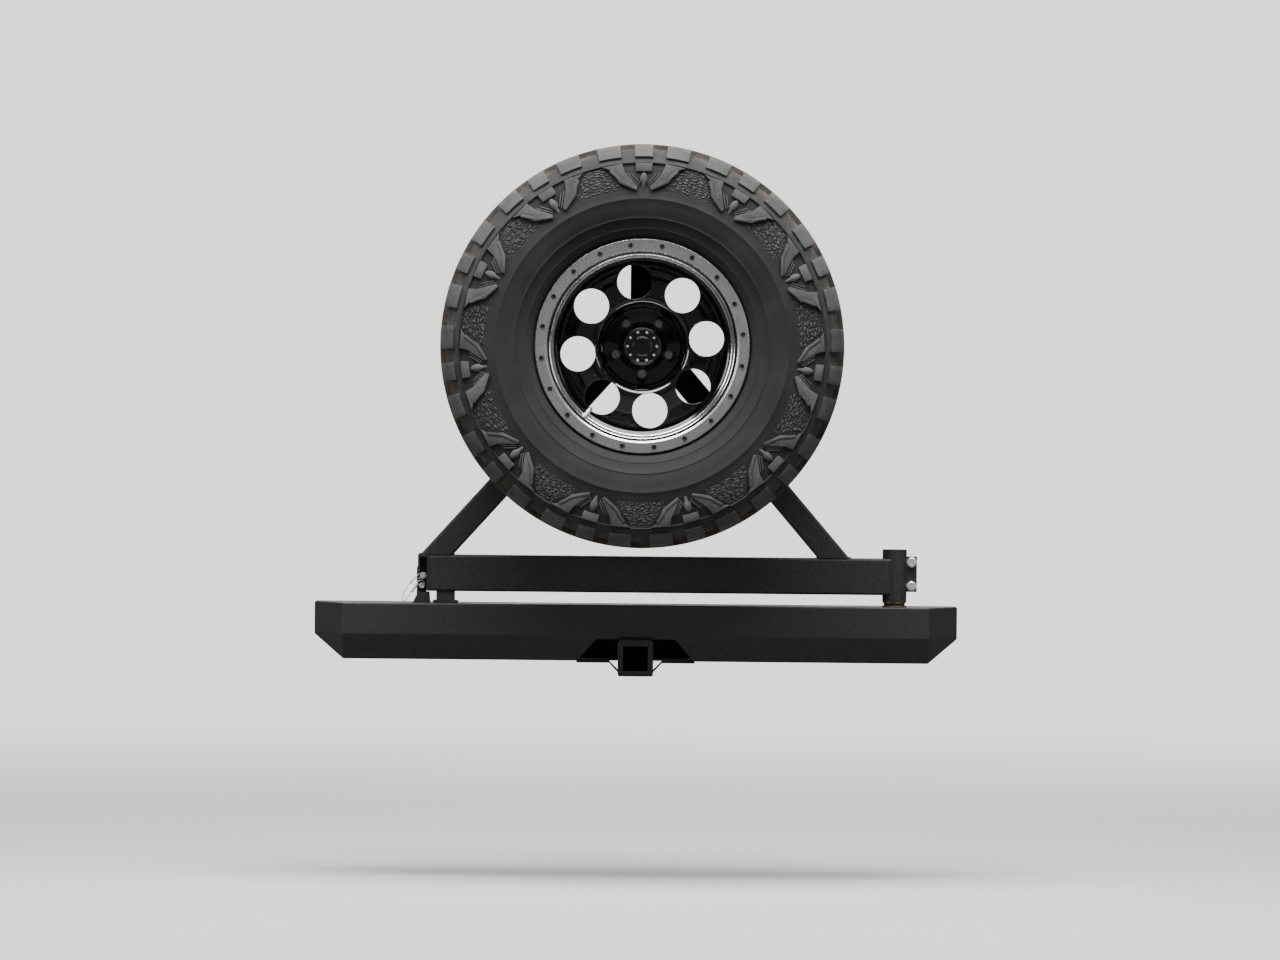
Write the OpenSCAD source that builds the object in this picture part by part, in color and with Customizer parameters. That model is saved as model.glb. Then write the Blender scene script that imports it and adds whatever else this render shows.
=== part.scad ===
// Swing-out spare tire carrier: a steel bumper that carries a hinged gate, and the spare wheel on the gate.
// X runs across the vehicle, +Y points forwards into the vehicle and +Z up. Units are millimetres.
// The origin is the middle of the frame bolts, on the plane where the bumper meets the frame.

/* [Bumper] */
// Overall width of the bumper
bumper_w = 1348; // [1280:1:1480]
// Width of each swept end, seen from behind
wing_w = 63; // [45:1:75]
// Height of the bumper
bumper_h = 118; // [105:1:150]
// Height of the upright face
face_h = 65; // [50:1:80]
// Depth of the bumper from its face to the frame
bumper_d = 150; // [140:1:185]
// Distance that the lower edge is set back from the face
chin_setback = 42; // [25:1:55]
// Depth of the outer end of each swept end
end_d = 50; // [35:1:70]
// Thickness of the bumper plate
plate_t = 5; // [3:0.5:7]

/* [Frame brackets] */
// Distance between the middles of the two brackets
bracket_span = 840; // [760:1:900]
// Width of one bracket
bracket_w = 110; // [95:1:140]
// Thickness of the bracket plates
bracket_t = 8; // [5:0.5:12]
// Distance between a bracket's two columns of holes
bracket_hole_dx = 70; // [50:1:80]
// Distance between a bracket's two rows of holes
bracket_hole_dz = 60; // [45:1:70]
// Diameter of the frame bolt holes
bracket_hole_d = 13.5; // [11:0.5:17]

/* [Receiver] */
// Inside width of the square receiver socket
socket_w = 51.5; // [50.8:0.1:64]
// Wall of the receiver tube
socket_wall = 6.35; // [4:0.05:8]
// Wall of the collar round the mouth
collar_t = 5; // [3:0.5:8]
// Length of the collar
collar_l = 16; // [10:1:30]
// Distance that the mouth stands out from the bumper face
mouth_out = 8; // [0:1:30]
// Distance from the mouth to the hitch pin hole
hitch_hole_back = 65; // [55:1:75]
// Diameter of the hitch pin hole
hitch_hole_d = 16.3; // [16:0.1:18]
// Height of the bumper top above the middle of the socket
socket_drop = 111; // [100:1:125]
// Half width of the strap under the receiver
strap_half_w = 124; // [105:1:140]
// Thickness of the strap
strap_t = 5; // [3:0.5:6]

/* [Hinge] */
// Distance of the hinge axis in from the end of the bumper
hinge_in = 134; // [110:1:180]
// Distance of the hinge axis from the frame
hinge_back = 95; // [80:1:110]
// Diameter of the spindle
spindle_d = 31.75; // [25:0.05:34]
// Outside diameter of the hinge housing
housing_d = 50.8; // [48:0.1:60]
// Wall of the hinge bushes
bush_t = 3.5; // [2:0.1:4]
// Length of each bush
bush_l = 35; // [25:1:42]
// Radial running clearance between the spindle and its bushes
spindle_clear = 0.06; // [0.03:0.01:0.1]
// Height of the boss under the housing
boss_h = 8; // [4:1:15]
// Width of each clamp ear, from the housing
ear_w = 21; // [19:1:30]
// Height of the clamp ears
ear_h = 74; // [66:1:90]
// Thickness of one clamp ear
ear_t = 8; // [5:0.5:10]
// Slot between the clamp ears
ear_gap = 3; // [2:0.5:5]
// Distance between the clamp bolts
clamp_bolt_dz = 50; // [40:1:56]
// Diameter of the clamp bolts
clamp_bolt_d = 10; // [8:1:12]

/* [Gate] */
// Height of the beam
beam_h = 76.2; // [70:0.1:90]
// Depth of the beam, braces and mast
tube_d = 50.8; // [45:0.1:60]
// Wall of the gate tubes
tube_wall = 4.8; // [3:0.1:6]
// Corner radius of the gate tubes
tube_r = 6; // [5:0.5:9]
// Gap between the bumper top and the beam
beam_gap = 25; // [22:1:32]
// Distance of the beam's free end in from the end of the bumper
beam_end_in = 242; // [200:1:280]
// Width of the braces and the mast
brace_w = 50.8; // [45:0.1:55]
// Distance of the left brace's foot in from the beam's free end
left_foot_in = 15; // [2:1:30]
// Distance of the right brace's foot in from the hinge axis
right_foot_in = 128; // [115:1:160]
// Length of the mast below the wheel axis
mast_below = 63; // [55:1:90]
// Length of the mast above the wheel axis
mast_above = 203; // [120:1:260]

/* [Latch] */
// Width of the latch channel
channel_w = 19; // [18:1:26]
// Thickness of the latch channel's web
web_t = 7; // [5:0.5:9]
// Diameter of the latch pin
pin_d = 9.5; // [8:0.1:11]
// Height of the latch pin above the bumper
pin_up = 57; // [52:1:66]
// Height of the lanyard screw above the bumper
screw_up = 36; // [34:1:37]
// Distance that the lanyard screw sits further out than the pin
screw_out = 2; // [0:0.5:2]
// Radial clearance of the pin in the fixed bracket
pin_bracket_clear = 1.2; // [1:0.1:2]

/* [Wheel mount] */
// Distance of the wheel axis from the middle of the bumper
wheel_x = 8; // [-40:1:60]
// Height of the wheel axis above the bumper
wheel_up = 538; // [500:1:560]
// Gap between the gate's rear face and the tire
tire_gap = 15.5; // [10:0.5:45]
// Outside diameter of the stand-off tube
standoff_d = 89; // [76:1:102]
// Wall of the stand-off tube
standoff_wall = 6; // [4:0.5:8]
// Side of the square mounting flanges
flange_w = 130; // [120:1:150]
// Thickness of the mounting flanges and the stud plate
flange_t = 8; // [6:0.5:10]
// Distance between the flange bolts
flange_bolt_dx = 100; // [94:1:106]
// Diameter of the flange bolts
flange_bolt_d = 10; // [8:1:12]
// Diameter of the wheel's stud circle
stud_circle = 114.3; // [108:0.1:120]
// Number of studs
stud_count = 5; // [5:1:6]
// Diameter of a stud
stud_d = 12.7; // [12:0.1:14.3]
// Length of a stud in front of the stud plate
stud_l = 40; // [34:1:46]

/* [Wheel] */
// Diameter of the rim over its flanges
rim_d = 440; // [420:1:450]
// Width of the rim over its flanges
rim_w = 223; // [205:1:240]
// Distance from the mounting face to the rim's forward edge
rim_backspace = 95; // [80:1:105]
// Wall of the rim barrel
rim_wall = 5.5; // [4:0.1:8]
// Number of round windows in the disc
window_count = 8; // [6:1:8]
// Diameter of a window
window_d = 72; // [55:1:76]
// Radius of the circle of windows
window_ring_r = 133; // [128:1:136]
// Turn of the windows and ring bolts about the wheel axis
pattern_turn = 7.2; // [0:0.1:45]
// Thickness of the trim ring on the outer lip
ring_t = 6; // [4:0.5:8]
// Number of trim ring bolts
ring_bolt_count = 20; // [16:1:24]
// Diameter of the centre cap
cap_d = 79; // [74:1:84]

/* [Tire] */
// Outside diameter of the tire
tire_d = 831; // [790:1:860]
// Width of the tire at its widest
tire_w = 304; // [285:1:318]
// Thickness of the sidewalls
sidewall_t = 11; // [8:1:14]
// Thickness of the casing and tread together
tread_t = 26; // [20:1:30]
// Depth of the tread grooves
groove_d = 13; // [8:1:15]
// Number of shoulder lugs on each side
lug_count = 33; // [24:1:44]

/* [Hidden] */
$fn = 96;
cut = 1;             // how far a cutter runs past the face it cuts
touch_gap = 0.3;     // gap between pieces that move on each other
black = "#26262a";
zinc = "#c9ccd0";

// Bumper levels and planes
half_w = bumper_w / 2;
face_x = half_w - wing_w;
top_z = bumper_h / 2;
bottom_z = -bumper_h / 2;
chin_z = top_z - face_h;
chin_h = bumper_h - face_h;
chin_l = sqrt(chin_setback * chin_setback + chin_h * chin_h);

// Receiver
socket_z = top_z - socket_drop;
tube_out_w = socket_w + 2 * socket_wall;
collar_w = tube_out_w + 2 * collar_t;
mouth_y = -bumper_d - mouth_out;
hitch_y = mouth_y + hitch_hole_back;
strap_y = hitch_y + 14;
strap_l = 50;
notch_gap = 2.9;
notch_z = socket_z + collar_w / 2 + notch_gap;
notch_top_half = strap_half_w - 42;
notch_bottom_half = strap_half_w - 2;
back_plate_t = 6;
back_plate_y = -12;

// Hinge
hinge_x = half_w - hinge_in;
hinge_y = -hinge_back;
spindle_r = spindle_d / 2;
bush_r = spindle_r + spindle_clear + bush_t;
boss_top = top_z + boss_h;
washer_t = 2.5;
housing_z = boss_top + washer_t + touch_gap;
beam_z = top_z + beam_gap;
beam_top = beam_z + beam_h;
housing_top = beam_top + 16;
housing_r = housing_d / 2;
upper_bush_top = housing_top - 22;
shoulder_z = upper_bush_top + touch_gap;
spindle_foot = bottom_z + plate_t + 16;
thread_r = 9.5;
cotter_r = 1.5;
nut_t = 12;
cap_t = 3.5;
ear_z = (beam_z + beam_top) / 2 + 6;
ear_x = hinge_x + housing_r + ear_w;
clamp_bolt_x = ear_x - 11;
flange_head_r = clamp_bolt_d * 1.05;

// Gate
beam_end_x = half_w - beam_end_in;
left_foot_x = beam_end_x - left_foot_in;
right_foot_x = hinge_x - right_foot_in;
gate_y = hinge_y;
gate_rear = gate_y - tube_d / 2;
gate_front = gate_y + tube_d / 2;
beam_left = -beam_end_x;
end_plate_t = 5;
wheel_z = top_z + wheel_up;
mast_left = wheel_x - brace_w / 2;
mast_right = wheel_x + brace_w / 2;
brace_top_z = wheel_z + 6;

// Latch
channel_right = beam_left - end_plate_t;
channel_left = channel_right - channel_w;
pin_x = channel_right - 8.5;
pin_z = top_z + pin_up;
screw_x = pin_x - screw_out;
screw_z = top_z + screw_up;
web_rear = gate_y - 1;
web_front = web_rear + web_t;
upright_y = web_front + 1;
upright_t = 8;
flange_end_z = pin_z + 9;
pin_hole_clear = 0.25;
pin_r = pin_d / 2;
handle_r = 6.4;
handle_l = 11;
neck_l = 3;          // bare shank that the lanyard's eyes lie round, on the pin and on the screw
handle_front = web_rear - neck_l;
handle_rear = handle_front - handle_l;
button_r = 3.2;
button_out = 3;
button_depth = 7;
button_travel = 2.8;
button_clear = 0.08;
screw_r = 3;

// Wheel mount
mount_out = tire_gap + tire_w / 2 - (rim_w / 2 - rim_backspace);
flange1_rear = gate_rear - flange_t;
flange2_rear = flange1_rear - flange_t;
hub_y = gate_rear - mount_out;
stud_plate_r = stud_circle / 2 + 23;
hub_gap = 0.3;
stud_r = stud_d / 2;

// Wheel, measured outwards from its mounting face
rim_r = rim_d / 2;
rim_back = -rim_backspace;
rim_front = rim_w - rim_backspace;
rim_mid = (rim_front + rim_back) / 2;
seat_r = rim_r - 17;
drop_r = seat_r - 22;
hub_pad_t = 12;
cap_r = cap_d / 2;
nut_af = 19;
nut_l = 32;
tire_r = tire_d / 2;
widest_r = (tire_r + rim_r) / 2 - 18;

// Lanyard: the middle of the cable, from its eye round the pin's neck to its eye round the screw
lanyard_d = 2;
lanyard_route = [
    [-468, -102.5, 103.5], [-464.5, -100.5, 107.5], [-459, -98.8, 110], [-453, -97.8, 110],
    [-448, -97.5, 109.2], [-443, -97.5, 109.6], [-439.2, -97.5, 112.8], [-438.6, -97.5, 117.5],
    [-441, -97.5, 121.3], [-445.8, -97.5, 122.8], [-450.5, -97.8, 121.3], [-455, -99, 118],
    [-459.5, -101, 114], [-464, -103, 109.5], [-468.5, -105, 105.5], [-472.5, -106, 100.5],
    [-476.5, -107, 95], [-480, -108, 88.5], [-483.5, -109, 82], [-486.5, -110, 75.5],
    [-488.5, -111, 69.5], [-487.6, -111.5, 64.9], [-484, -112, 62.8], [-480.4, -111.5, 64.8],
    [-477.5, -110.5, 69.5], [-474.5, -109, 75], [-471.5, -107.5, 80.5], [-468, -106, 86],
    [-464.5, -104.5, 91.5], [-461, -103, 97], [-457.5, -101.5, 102], [-453, -99.5, 105],
    [-448, -98, 105.2], [-443.8, -97.5, 102.6], [-441.6, -97.5, 98.2], [-442.2, -97.5, 93.2],
    [-445.4, -97.5, 90], [-450, -97.5, 90], [-453.6, -98.2, 93], [-456.6, -99.6, 97]
];

// ---- Shared shapes ----

// A rectangle with round corners, centred
module round_rect(w, h, r) {
    square([w - 2 * r, h], center = true);
    square([w, h - 2 * r], center = true);
    for (sx = [-1, 1], sy = [-1, 1])
        translate([sx * (w / 2 - r), sy * (h / 2 - r)]) circle(r);
}

// A rectangular tube along +Z from the origin
module box_tube(w, d, wall, r, l) {
    difference() {
        linear_extrude(l) round_rect(w, d, r);
        translate([0, 0, -cut]) linear_extrude(l + 2 * cut)
            round_rect(w - 2 * wall, d - 2 * wall, max(r - wall, 0.8));
    }
}

// A ring round +Z from z to z + h
module ring(r_out, r_in, z, h) {
    translate([0, 0, z]) difference() {
        cylinder(r = r_out, h = h);
        translate([0, 0, -cut]) cylinder(r = r_in, h = h + 2 * cut);
    }
}

// A hexagonal prism of a given width across flats
module hex(af, h) cylinder(r = af / sqrt(3), h = h, $fn = 6);

// Turns the drawing so that its +Z points rearwards, out of the vehicle, and its +Y points up
module rearwards(x, y, z) translate([x, y, z]) rotate([90, 0, 0]) children();

module at_hinge() translate([hinge_x, hinge_y, 0]) children();
module at_wheel() rearwards(wheel_x, hub_y, wheel_z) children();
module round_pattern(count, r, turn) {
    for (i = [0 : count - 1]) rotate(turn + i * 360 / count) translate([r, 0, 0]) children();
}

// A solid drawn in the Y-Z plane and extruded along X from x0 to x1
module along_x(x0, x1) translate([x0, 0, 0]) rotate([90, 0, 90]) linear_extrude(x1 - x0) children();

// A solid drawn in the X-Z plane and extruded along Y from y0 to y1
module along_y(y0, y1) translate([0, y1, 0]) rotate([90, 0, 0]) linear_extrude(y1 - y0) children();

// ---- Bumper ----

// The bumper's section in the Y-Z plane, set in by a wall; an inset section is open at the frame
function bumper_section(inset) =
    let (slant = inset * chin_l / chin_h,
         lean = chin_setback / chin_h,
         back = inset > 0 ? cut : 0)
    [
        [-bumper_d + inset, top_z - inset],
        [-bumper_d + inset, chin_z + inset * (chin_l - chin_h) / chin_setback],
        [-bumper_d + (chin_h - inset) * lean + slant, bottom_z + inset],
        [back, bottom_z + inset],
        [back, top_z - inset]
    ];

// The bent plate's section between two levels
module plate_section(low, high) intersection() {
    difference() {
        polygon(bumper_section(0));
        polygon(bumper_section(plate_t));
    }
    translate([-bumper_d - cut, low]) square([bumper_d + cut, high - low]);
}

// The top, the upright face and the fold at its foot
module bumper_shell() color(black) difference() {
    along_x(-face_x, face_x) plate_section(notch_z, top_z + cut);
    at_hinge() translate([0, 0, top_z - plate_t - cut]) cylinder(r = spindle_r, h = plate_t + 2 * cut);
}

// Half the width of the notch that leaves room for the receiver and its hitch pin
function notch_half(z) = notch_top_half + (notch_bottom_half - notch_top_half) * (notch_z - z) / (notch_z - bottom_z);

// The slanted chin and the bottom plate outside the notch, drawn for the +X side
module chin() difference() {
    along_x(notch_top_half, face_x) plate_section(bottom_z - cut, notch_z);
    along_y(-bumper_d - cut, cut) polygon([
        [0, notch_z + cut], [notch_top_half, notch_z + cut], [notch_top_half, notch_z],
        [notch_bottom_half, bottom_z], [notch_bottom_half, bottom_z - cut], [0, bottom_z - cut]
    ]);
}

module right_chin() color(black) chin();
module left_chin() color(black) mirror([1, 0, 0]) chin();

// The bottom plate behind the notch, on each side of the receiver tube
module bumper_floor() color(black)
    for (side = [0, 1]) mirror([side, 0, 0])
        along_y(strap_y - 6, 0) polygon([
            [tube_out_w / 2, bottom_z], [notch_bottom_half, bottom_z],
            [notch_half(bottom_z + plate_t), bottom_z + plate_t], [tube_out_w / 2, bottom_z + plate_t]
        ]);

// One swept end, drawn for the +X side
module wing_body(inset, x0, x1) {
    lift = inset * 1.3;
    open = inset > 0 ? cut : 0;
    hull() {
        along_x(x0, x0 + 0.01) polygon(bumper_section(inset));
        along_x(x1 - 0.01, x1) polygon([
            [-end_d + lift, top_z - inset], [-end_d + lift, chin_z + lift],
            [open, chin_z + lift], [open, top_z - inset]
        ]);
    }
}

module wing() difference() {
    wing_body(0, face_x, half_w);
    wing_body(plate_t, face_x - 0.5, half_w - plate_t);
}

module right_wing() color(black) wing();
module left_wing() color(black) mirror([1, 0, 0]) wing();

// A bracket is a bolt plate with a rib down each side, all inside the shell
module frame_bracket(side) {
    x = side * bracket_span / 2;
    difference() {
        union() {
            translate([x - bracket_w / 2, -bracket_t, bottom_z + plate_t])
                cube([bracket_w, bracket_t, bumper_h - 2 * plate_t]);
            for (s = [-1, 1]) {
                rib_x = x + s * (bracket_w - bracket_t) / 2 - bracket_t / 2;
                intersection() {
                    along_x(rib_x, rib_x + bracket_t) polygon(bumper_section(plate_t));
                    translate([rib_x - cut, -bumper_d, bottom_z])
                        cube([bracket_t + 2 * cut, bumper_d, bumper_h]);
                }
            }
        }
        for (sx = [-1, 1], sz = [-1, 1])
            rearwards(x + sx * bracket_hole_dx / 2, cut, sz * bracket_hole_dz / 2)
                cylinder(d = bracket_hole_d, h = bracket_t + 2 * cut);
    }
}

module left_frame_bracket() color(black) frame_bracket(-1);
module right_frame_bracket() color(black) frame_bracket(1);

// ---- Receiver ----

module receiver_tube() color(black) difference() {
    rearwards(0, back_plate_y, socket_z)
        box_tube(tube_out_w, tube_out_w, socket_wall, 4, back_plate_y - mouth_y);
    translate([-tube_out_w, hitch_y, socket_z]) rotate([0, 90, 0])
        cylinder(d = hitch_hole_d, h = 2 * tube_out_w);
}

module receiver_collar() color(black) difference() {
    rearwards(0, mouth_y + collar_l, socket_z) linear_extrude(collar_l) round_rect(collar_w, collar_w, 5);
    rearwards(0, mouth_y + collar_l + cut, socket_z) linear_extrude(collar_l + 2 * cut)
        round_rect(tube_out_w, tube_out_w, 4);
}

// Closes the bumper behind the notch, and the tube's forward end
module receiver_back_plate() color(black) {
    low = bottom_z + plate_t;
    high = top_z - plate_t;
    under = socket_z - tube_out_w / 2;
    along_y(back_plate_y, back_plate_y + back_plate_t) polygon([
        [-strap_half_w, high], [strap_half_w, high], [strap_half_w, low], [tube_out_w / 2, low],
        [tube_out_w / 2, under], [-tube_out_w / 2, under], [-tube_out_w / 2, low], [-strap_half_w, low]
    ]);
}

// A strip bent under the receiver, drawn as a band below the line of its upper face
module receiver_strap() color(black) {
    under = socket_z - tube_out_w / 2;
    knee = tube_out_w / 2 + 25;
    upper = [
        [-strap_half_w, bottom_z], [-knee, bottom_z], [-tube_out_w / 2, under],
        [tube_out_w / 2, under], [knee, bottom_z], [strap_half_w, bottom_z]
    ];
    lower = [for (i = [5 : -1 : 0])
        [upper[i][0] + (abs(upper[i][0]) == knee ? 2 * sign(-upper[i][0]) : 0), upper[i][1] - strap_t]];
    along_y(strap_y, strap_y + strap_l) polygon(concat(upper, lower));
}

// ---- Hinge, fixed half ----

module spindle_doubler() color(black) difference() {
    translate([hinge_x - 45, hinge_y - 45, top_z - plate_t - 8]) cube([90, 90, 8]);
    at_hinge() cylinder(r = spindle_r, h = 2 * top_z);
}

module spindle_boss() color(black) at_hinge() ring(spindle_r + 6.2, spindle_r, top_z, boss_h);

module hinge_spindle() color("#8c8f94") at_hinge() {
    difference() {
        union() {
            translate([0, 0, spindle_foot]) cylinder(r = spindle_r, h = shoulder_z - spindle_foot);
            translate([0, 0, shoulder_z - cut]) cylinder(r = thread_r, h = nut_t + 5 + cut);
        }
        translate([-20, 0, shoulder_z + nut_t]) rotate([0, 90, 0]) cylinder(r = cotter_r, h = 40, $fn = 24);
    }
}

module thrust_washer() color("#b08a4a") at_hinge() ring(spindle_r + 8, spindle_r + 0.3, boss_top, washer_t);

module spindle_washer() color(zinc) at_hinge() ring(bush_r - 0.6, thread_r + 0.2, shoulder_z, 3);

// A castle nut with three cross slots
module spindle_nut() color(zinc) at_hinge() translate([0, 0, shoulder_z + 3]) difference() {
    hex(27, nut_t);
    translate([0, 0, -cut]) cylinder(r = thread_r, h = nut_t + 2 * cut);
    for (a = [0, 60, 120]) rotate(a) translate([-20, -1.8, nut_t - 5]) cube([40, 3.6, 6]);
}

module spindle_cotter() color(zinc) at_hinge()
    translate([-12.5, 0, shoulder_z + nut_t]) rotate([0, 90, 0]) cylinder(r = cotter_r, h = 25, $fn = 24);

// ---- Hinge, moving half ----

module hinge_housing() color(black) difference() {
    union() {
        at_hinge() translate([0, 0, housing_z]) cylinder(r = housing_r, h = housing_top - housing_z);
        for (s = [0, 1])
            translate([hinge_x + bush_r, hinge_y - s * (ear_t + ear_gap / 2) + (1 - s) * ear_gap / 2, ear_z - ear_h / 2])
                cube([ear_x - hinge_x - bush_r, ear_t, ear_h]);
    }
    at_hinge() translate([0, 0, housing_z - cut]) cylinder(r = bush_r, h = housing_top - housing_z + 2 * cut);
    translate([hinge_x, hinge_y - ear_gap / 2, housing_z - cut])
        cube([ear_x - hinge_x + cut, ear_gap, housing_top - housing_z + 2 * cut]);
    for (s = [-1, 1]) rearwards(clamp_bolt_x, hinge_y + 20, ear_z + s * clamp_bolt_dz / 2)
        cylinder(d = clamp_bolt_d + 0.6, h = 40);
}

module bush(z) color("#b08a4a") at_hinge() ring(bush_r, spindle_r + spindle_clear, z, bush_l);
module lower_bush() bush(housing_z);
module upper_bush() bush(upper_bush_top - bush_l);

module hinge_cap() color(black) at_hinge() {
    translate([0, 0, housing_top]) cylinder(r = housing_r, h = cap_t);
    ring(bush_r, bush_r - 3, housing_top - 4, 4 + 0.01);
}

module grease_nipple() color(zinc) translate([hinge_x, hinge_y + housing_r - 4, (beam_z + beam_top) / 2 + 10])
    rotate([-90, 0, 0]) {
        cylinder(r = 3, h = 5);
        translate([0, 0, 5]) hex(9, 4);
        translate([0, 0, 9]) cylinder(r1 = 2.2, r2 = 3, h = 4);
        translate([0, 0, 13]) cylinder(r1 = 3, r2 = 1.6, h = 2);
    }

// Flange bolts with their heads to the rear
module clamp_bolts() color(zinc) for (s = [-1, 1])
    rearwards(clamp_bolt_x, hinge_y - ear_gap / 2 - ear_t, ear_z + s * clamp_bolt_dz / 2) {
        translate([0, 0, -2 * ear_t - ear_gap - 14]) cylinder(d = clamp_bolt_d, h = 2 * ear_t + ear_gap + 14);
        cylinder(r = flange_head_r, h = 2.4);
        translate([0, 0, 2.4]) cylinder(r1 = flange_head_r - 0.4, r2 = flange_head_r - 2.4, h = 1.6);
        translate([0, 0, 4]) hex(15, 6);
    }

module clamp_nuts() color(zinc) for (s = [-1, 1])
    rearwards(clamp_bolt_x, hinge_y + ear_gap / 2 + ear_t, ear_z + s * clamp_bolt_dz / 2)
        translate([0, 0, -10]) difference() {
            union() {
                hex(15, 8.01);
                translate([0, 0, 8]) cylinder(r = flange_head_r, h = 2);
            }
            translate([0, 0, -cut]) cylinder(d = clamp_bolt_d, h = 12);
        }

// ---- Gate ----

// The beam's end is cut round the hinge housing
module gate_beam() color(black) {
    beam_right = hinge_x - 9;
    difference() {
        translate([beam_left, gate_y, (beam_z + beam_top) / 2]) rotate([0, 90, 0])
            box_tube(beam_h, tube_d, tube_wall, tube_r, beam_right - beam_left);
        at_hinge() translate([0, 0, beam_z - cut]) cylinder(r = housing_r, h = beam_h + 2 * cut);
    }
}

module beam_end_plate() color(black)
    translate([channel_right, gate_rear, beam_z]) cube([end_plate_t, tube_d, beam_h]);

// A web with the pin hole, a flange down its outer edge and a plate that closes the brace's foot
module latch_channel() color(black) difference() {
    union() {
        translate([channel_left, web_rear, beam_z + 2]) cube([channel_w, web_t, beam_h - 2]);
        translate([channel_left, gate_rear, flange_end_z]) cube([4, web_front - gate_rear, beam_top - flange_end_z]);
        translate([channel_left, gate_rear, beam_top - 5]) cube([channel_w, tube_d, 5]);
    }
    rearwards(pin_x, web_front + cut, pin_z) cylinder(r = pin_r + pin_hole_clear, h = web_t + 2 * cut);
    rearwards(screw_x, web_front + cut, screw_z) cylinder(r = screw_r, h = web_t + 2 * cut);
}

// A brace from its foot on the beam to the side of the mast
module brace(foot_x, head_x) {
    rise = brace_top_z - beam_top;
    run = head_x - foot_x;
    lean = atan2(run, rise);
    reach = 2 * brace_w;
    difference() {
        translate([foot_x, gate_y, beam_top]) rotate([0, lean, 0])
            translate([0, 0, -reach]) box_tube(brace_w, tube_d, tube_wall, tube_r, norm([run, rise]) + 2 * reach);
        translate([foot_x - 2 * reach, gate_rear - cut, beam_top - 3 * reach])
            cube([4 * reach, tube_d + 2 * cut, 3 * reach]);
        translate([run > 0 ? head_x : head_x - 3 * reach, gate_rear - cut, brace_top_z - 3 * reach])
            cube([3 * reach, tube_d + 2 * cut, 6 * reach]);
    }
}

module left_brace() color(black) brace(-left_foot_x, mast_left);
module right_brace() color(black) brace(right_foot_x, mast_right);

module mast() color(black) translate([wheel_x, gate_y, wheel_z - mast_below])
    box_tube(brace_w, tube_d, tube_wall, tube_r, mast_below + mast_above);

module mast_cap() color("#1c1c1e") translate([wheel_x, gate_y, wheel_z + mast_above]) {
    linear_extrude(3) round_rect(brace_w, tube_d, tube_r);
    translate([0, 0, -12]) linear_extrude(12.01)
        round_rect(brace_w - 2 * tube_wall, tube_d - 2 * tube_wall, tube_r - tube_wall);
}

module mast_foot() color(black) translate([wheel_x, gate_y, wheel_z - mast_below - 4])
    linear_extrude(4) round_rect(brace_w, tube_d, tube_r);

// ---- Wheel mount ----

module flange_holes(d) {
    for (sx = [-1, 1], sz = [-1, 1])
        translate([sx * flange_bolt_dx / 2, sz * flange_bolt_dx / 2, 0]) cylinder(d = d, h = 60);
}

module square_flange(rear, hole_d) rearwards(wheel_x, rear + flange_t, wheel_z) difference() {
    linear_extrude(flange_t) round_rect(flange_w, flange_w, 14);
    translate([0, 0, -cut]) flange_holes(hole_d);
}

module mast_flange() color(black) square_flange(flange1_rear, flange_bolt_d);
module standoff_flange() color(black) square_flange(flange2_rear, flange_bolt_d + 1);

module standoff_tube() color(black)
    rearwards(wheel_x, flange2_rear, wheel_z)
        ring(standoff_d / 2, standoff_d / 2 - standoff_wall, 0, flange2_rear - hub_y - hub_gap - flange_t);

module stud_plate() color(black) at_wheel() difference() {
    translate([0, 0, -flange_t - hub_gap]) cylinder(r = stud_plate_r, h = flange_t);
    round_pattern(stud_count, stud_circle / 2, -90)
        translate([0, 0, -flange_t - hub_gap - cut]) cylinder(r = stud_r, h = flange_t + 2 * cut);
    translate([0, 0, -flange_t - hub_gap - cut]) cylinder(r = 20, h = flange_t + 2 * cut);
}

// The studs are pressed in from behind the plate
module wheel_studs() color(zinc) at_wheel() round_pattern(stud_count, stud_circle / 2, -90) {
    translate([0, 0, -flange_t - hub_gap]) cylinder(r = stud_r, h = flange_t + stud_l - 2);
    translate([0, 0, stud_l - 2 - hub_gap]) cylinder(r1 = stud_r, r2 = stud_r - 1.8, h = 2);
    translate([0, 0, -flange_t - hub_gap - 4]) cylinder(r = stud_r + 2.5, h = 4);
}

// The mast's flange is tapped, because the braces leave no room for nuts in front of it
module flange_bolts() color(zinc) rearwards(wheel_x, flange2_rear, wheel_z)
    for (sx = [-1, 1], sz = [-1, 1]) translate([sx, sz] * flange_bolt_dx / 2) {
        translate([0, 0, -2 * flange_t]) cylinder(d = flange_bolt_d, h = 2 * flange_t);
        cylinder(d = flange_bolt_d * 2, h = 2.5);
        translate([0, 0, 2.5]) hex(flange_bolt_d * 1.5, flange_bolt_d * 0.64);
    }

// ---- Latch ----

// Fixed to the bumper: a tapered foot, an upright plate behind the gate's web and a gusset
module latch_bracket() color(black) difference() {
    foot_top = beam_z - 2;
    upright_right = channel_right - 1.5;
    upright_left = channel_left - 3;
    union() {
        along_y(gate_rear + 9, upright_y + upright_t) polygon([
            [channel_left - 11, top_z], [beam_left + 2, top_z],
            [beam_left, foot_top], [channel_left + 1, foot_top]
        ]);
        translate([upright_left, upright_y, top_z])
            cube([upright_right - upright_left, upright_t, pin_z + 18 - top_z]);
        along_x((upright_left + upright_right) / 2 - 3, (upright_left + upright_right) / 2 + 3) polygon([
            [upright_y + upright_t, top_z], [upright_y + upright_t + 34, top_z],
            [upright_y + upright_t, pin_z - 14]
        ]);
    }
    rearwards(pin_x, upright_y + upright_t + cut, pin_z)
        cylinder(r = pin_r + pin_bracket_clear, h = upright_t + 2 * cut);
    rearwards(screw_x, upright_y + upright_t + 40, screw_z) cylinder(r = screw_r + 3, h = 40 + upright_t + cut);
}

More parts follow.
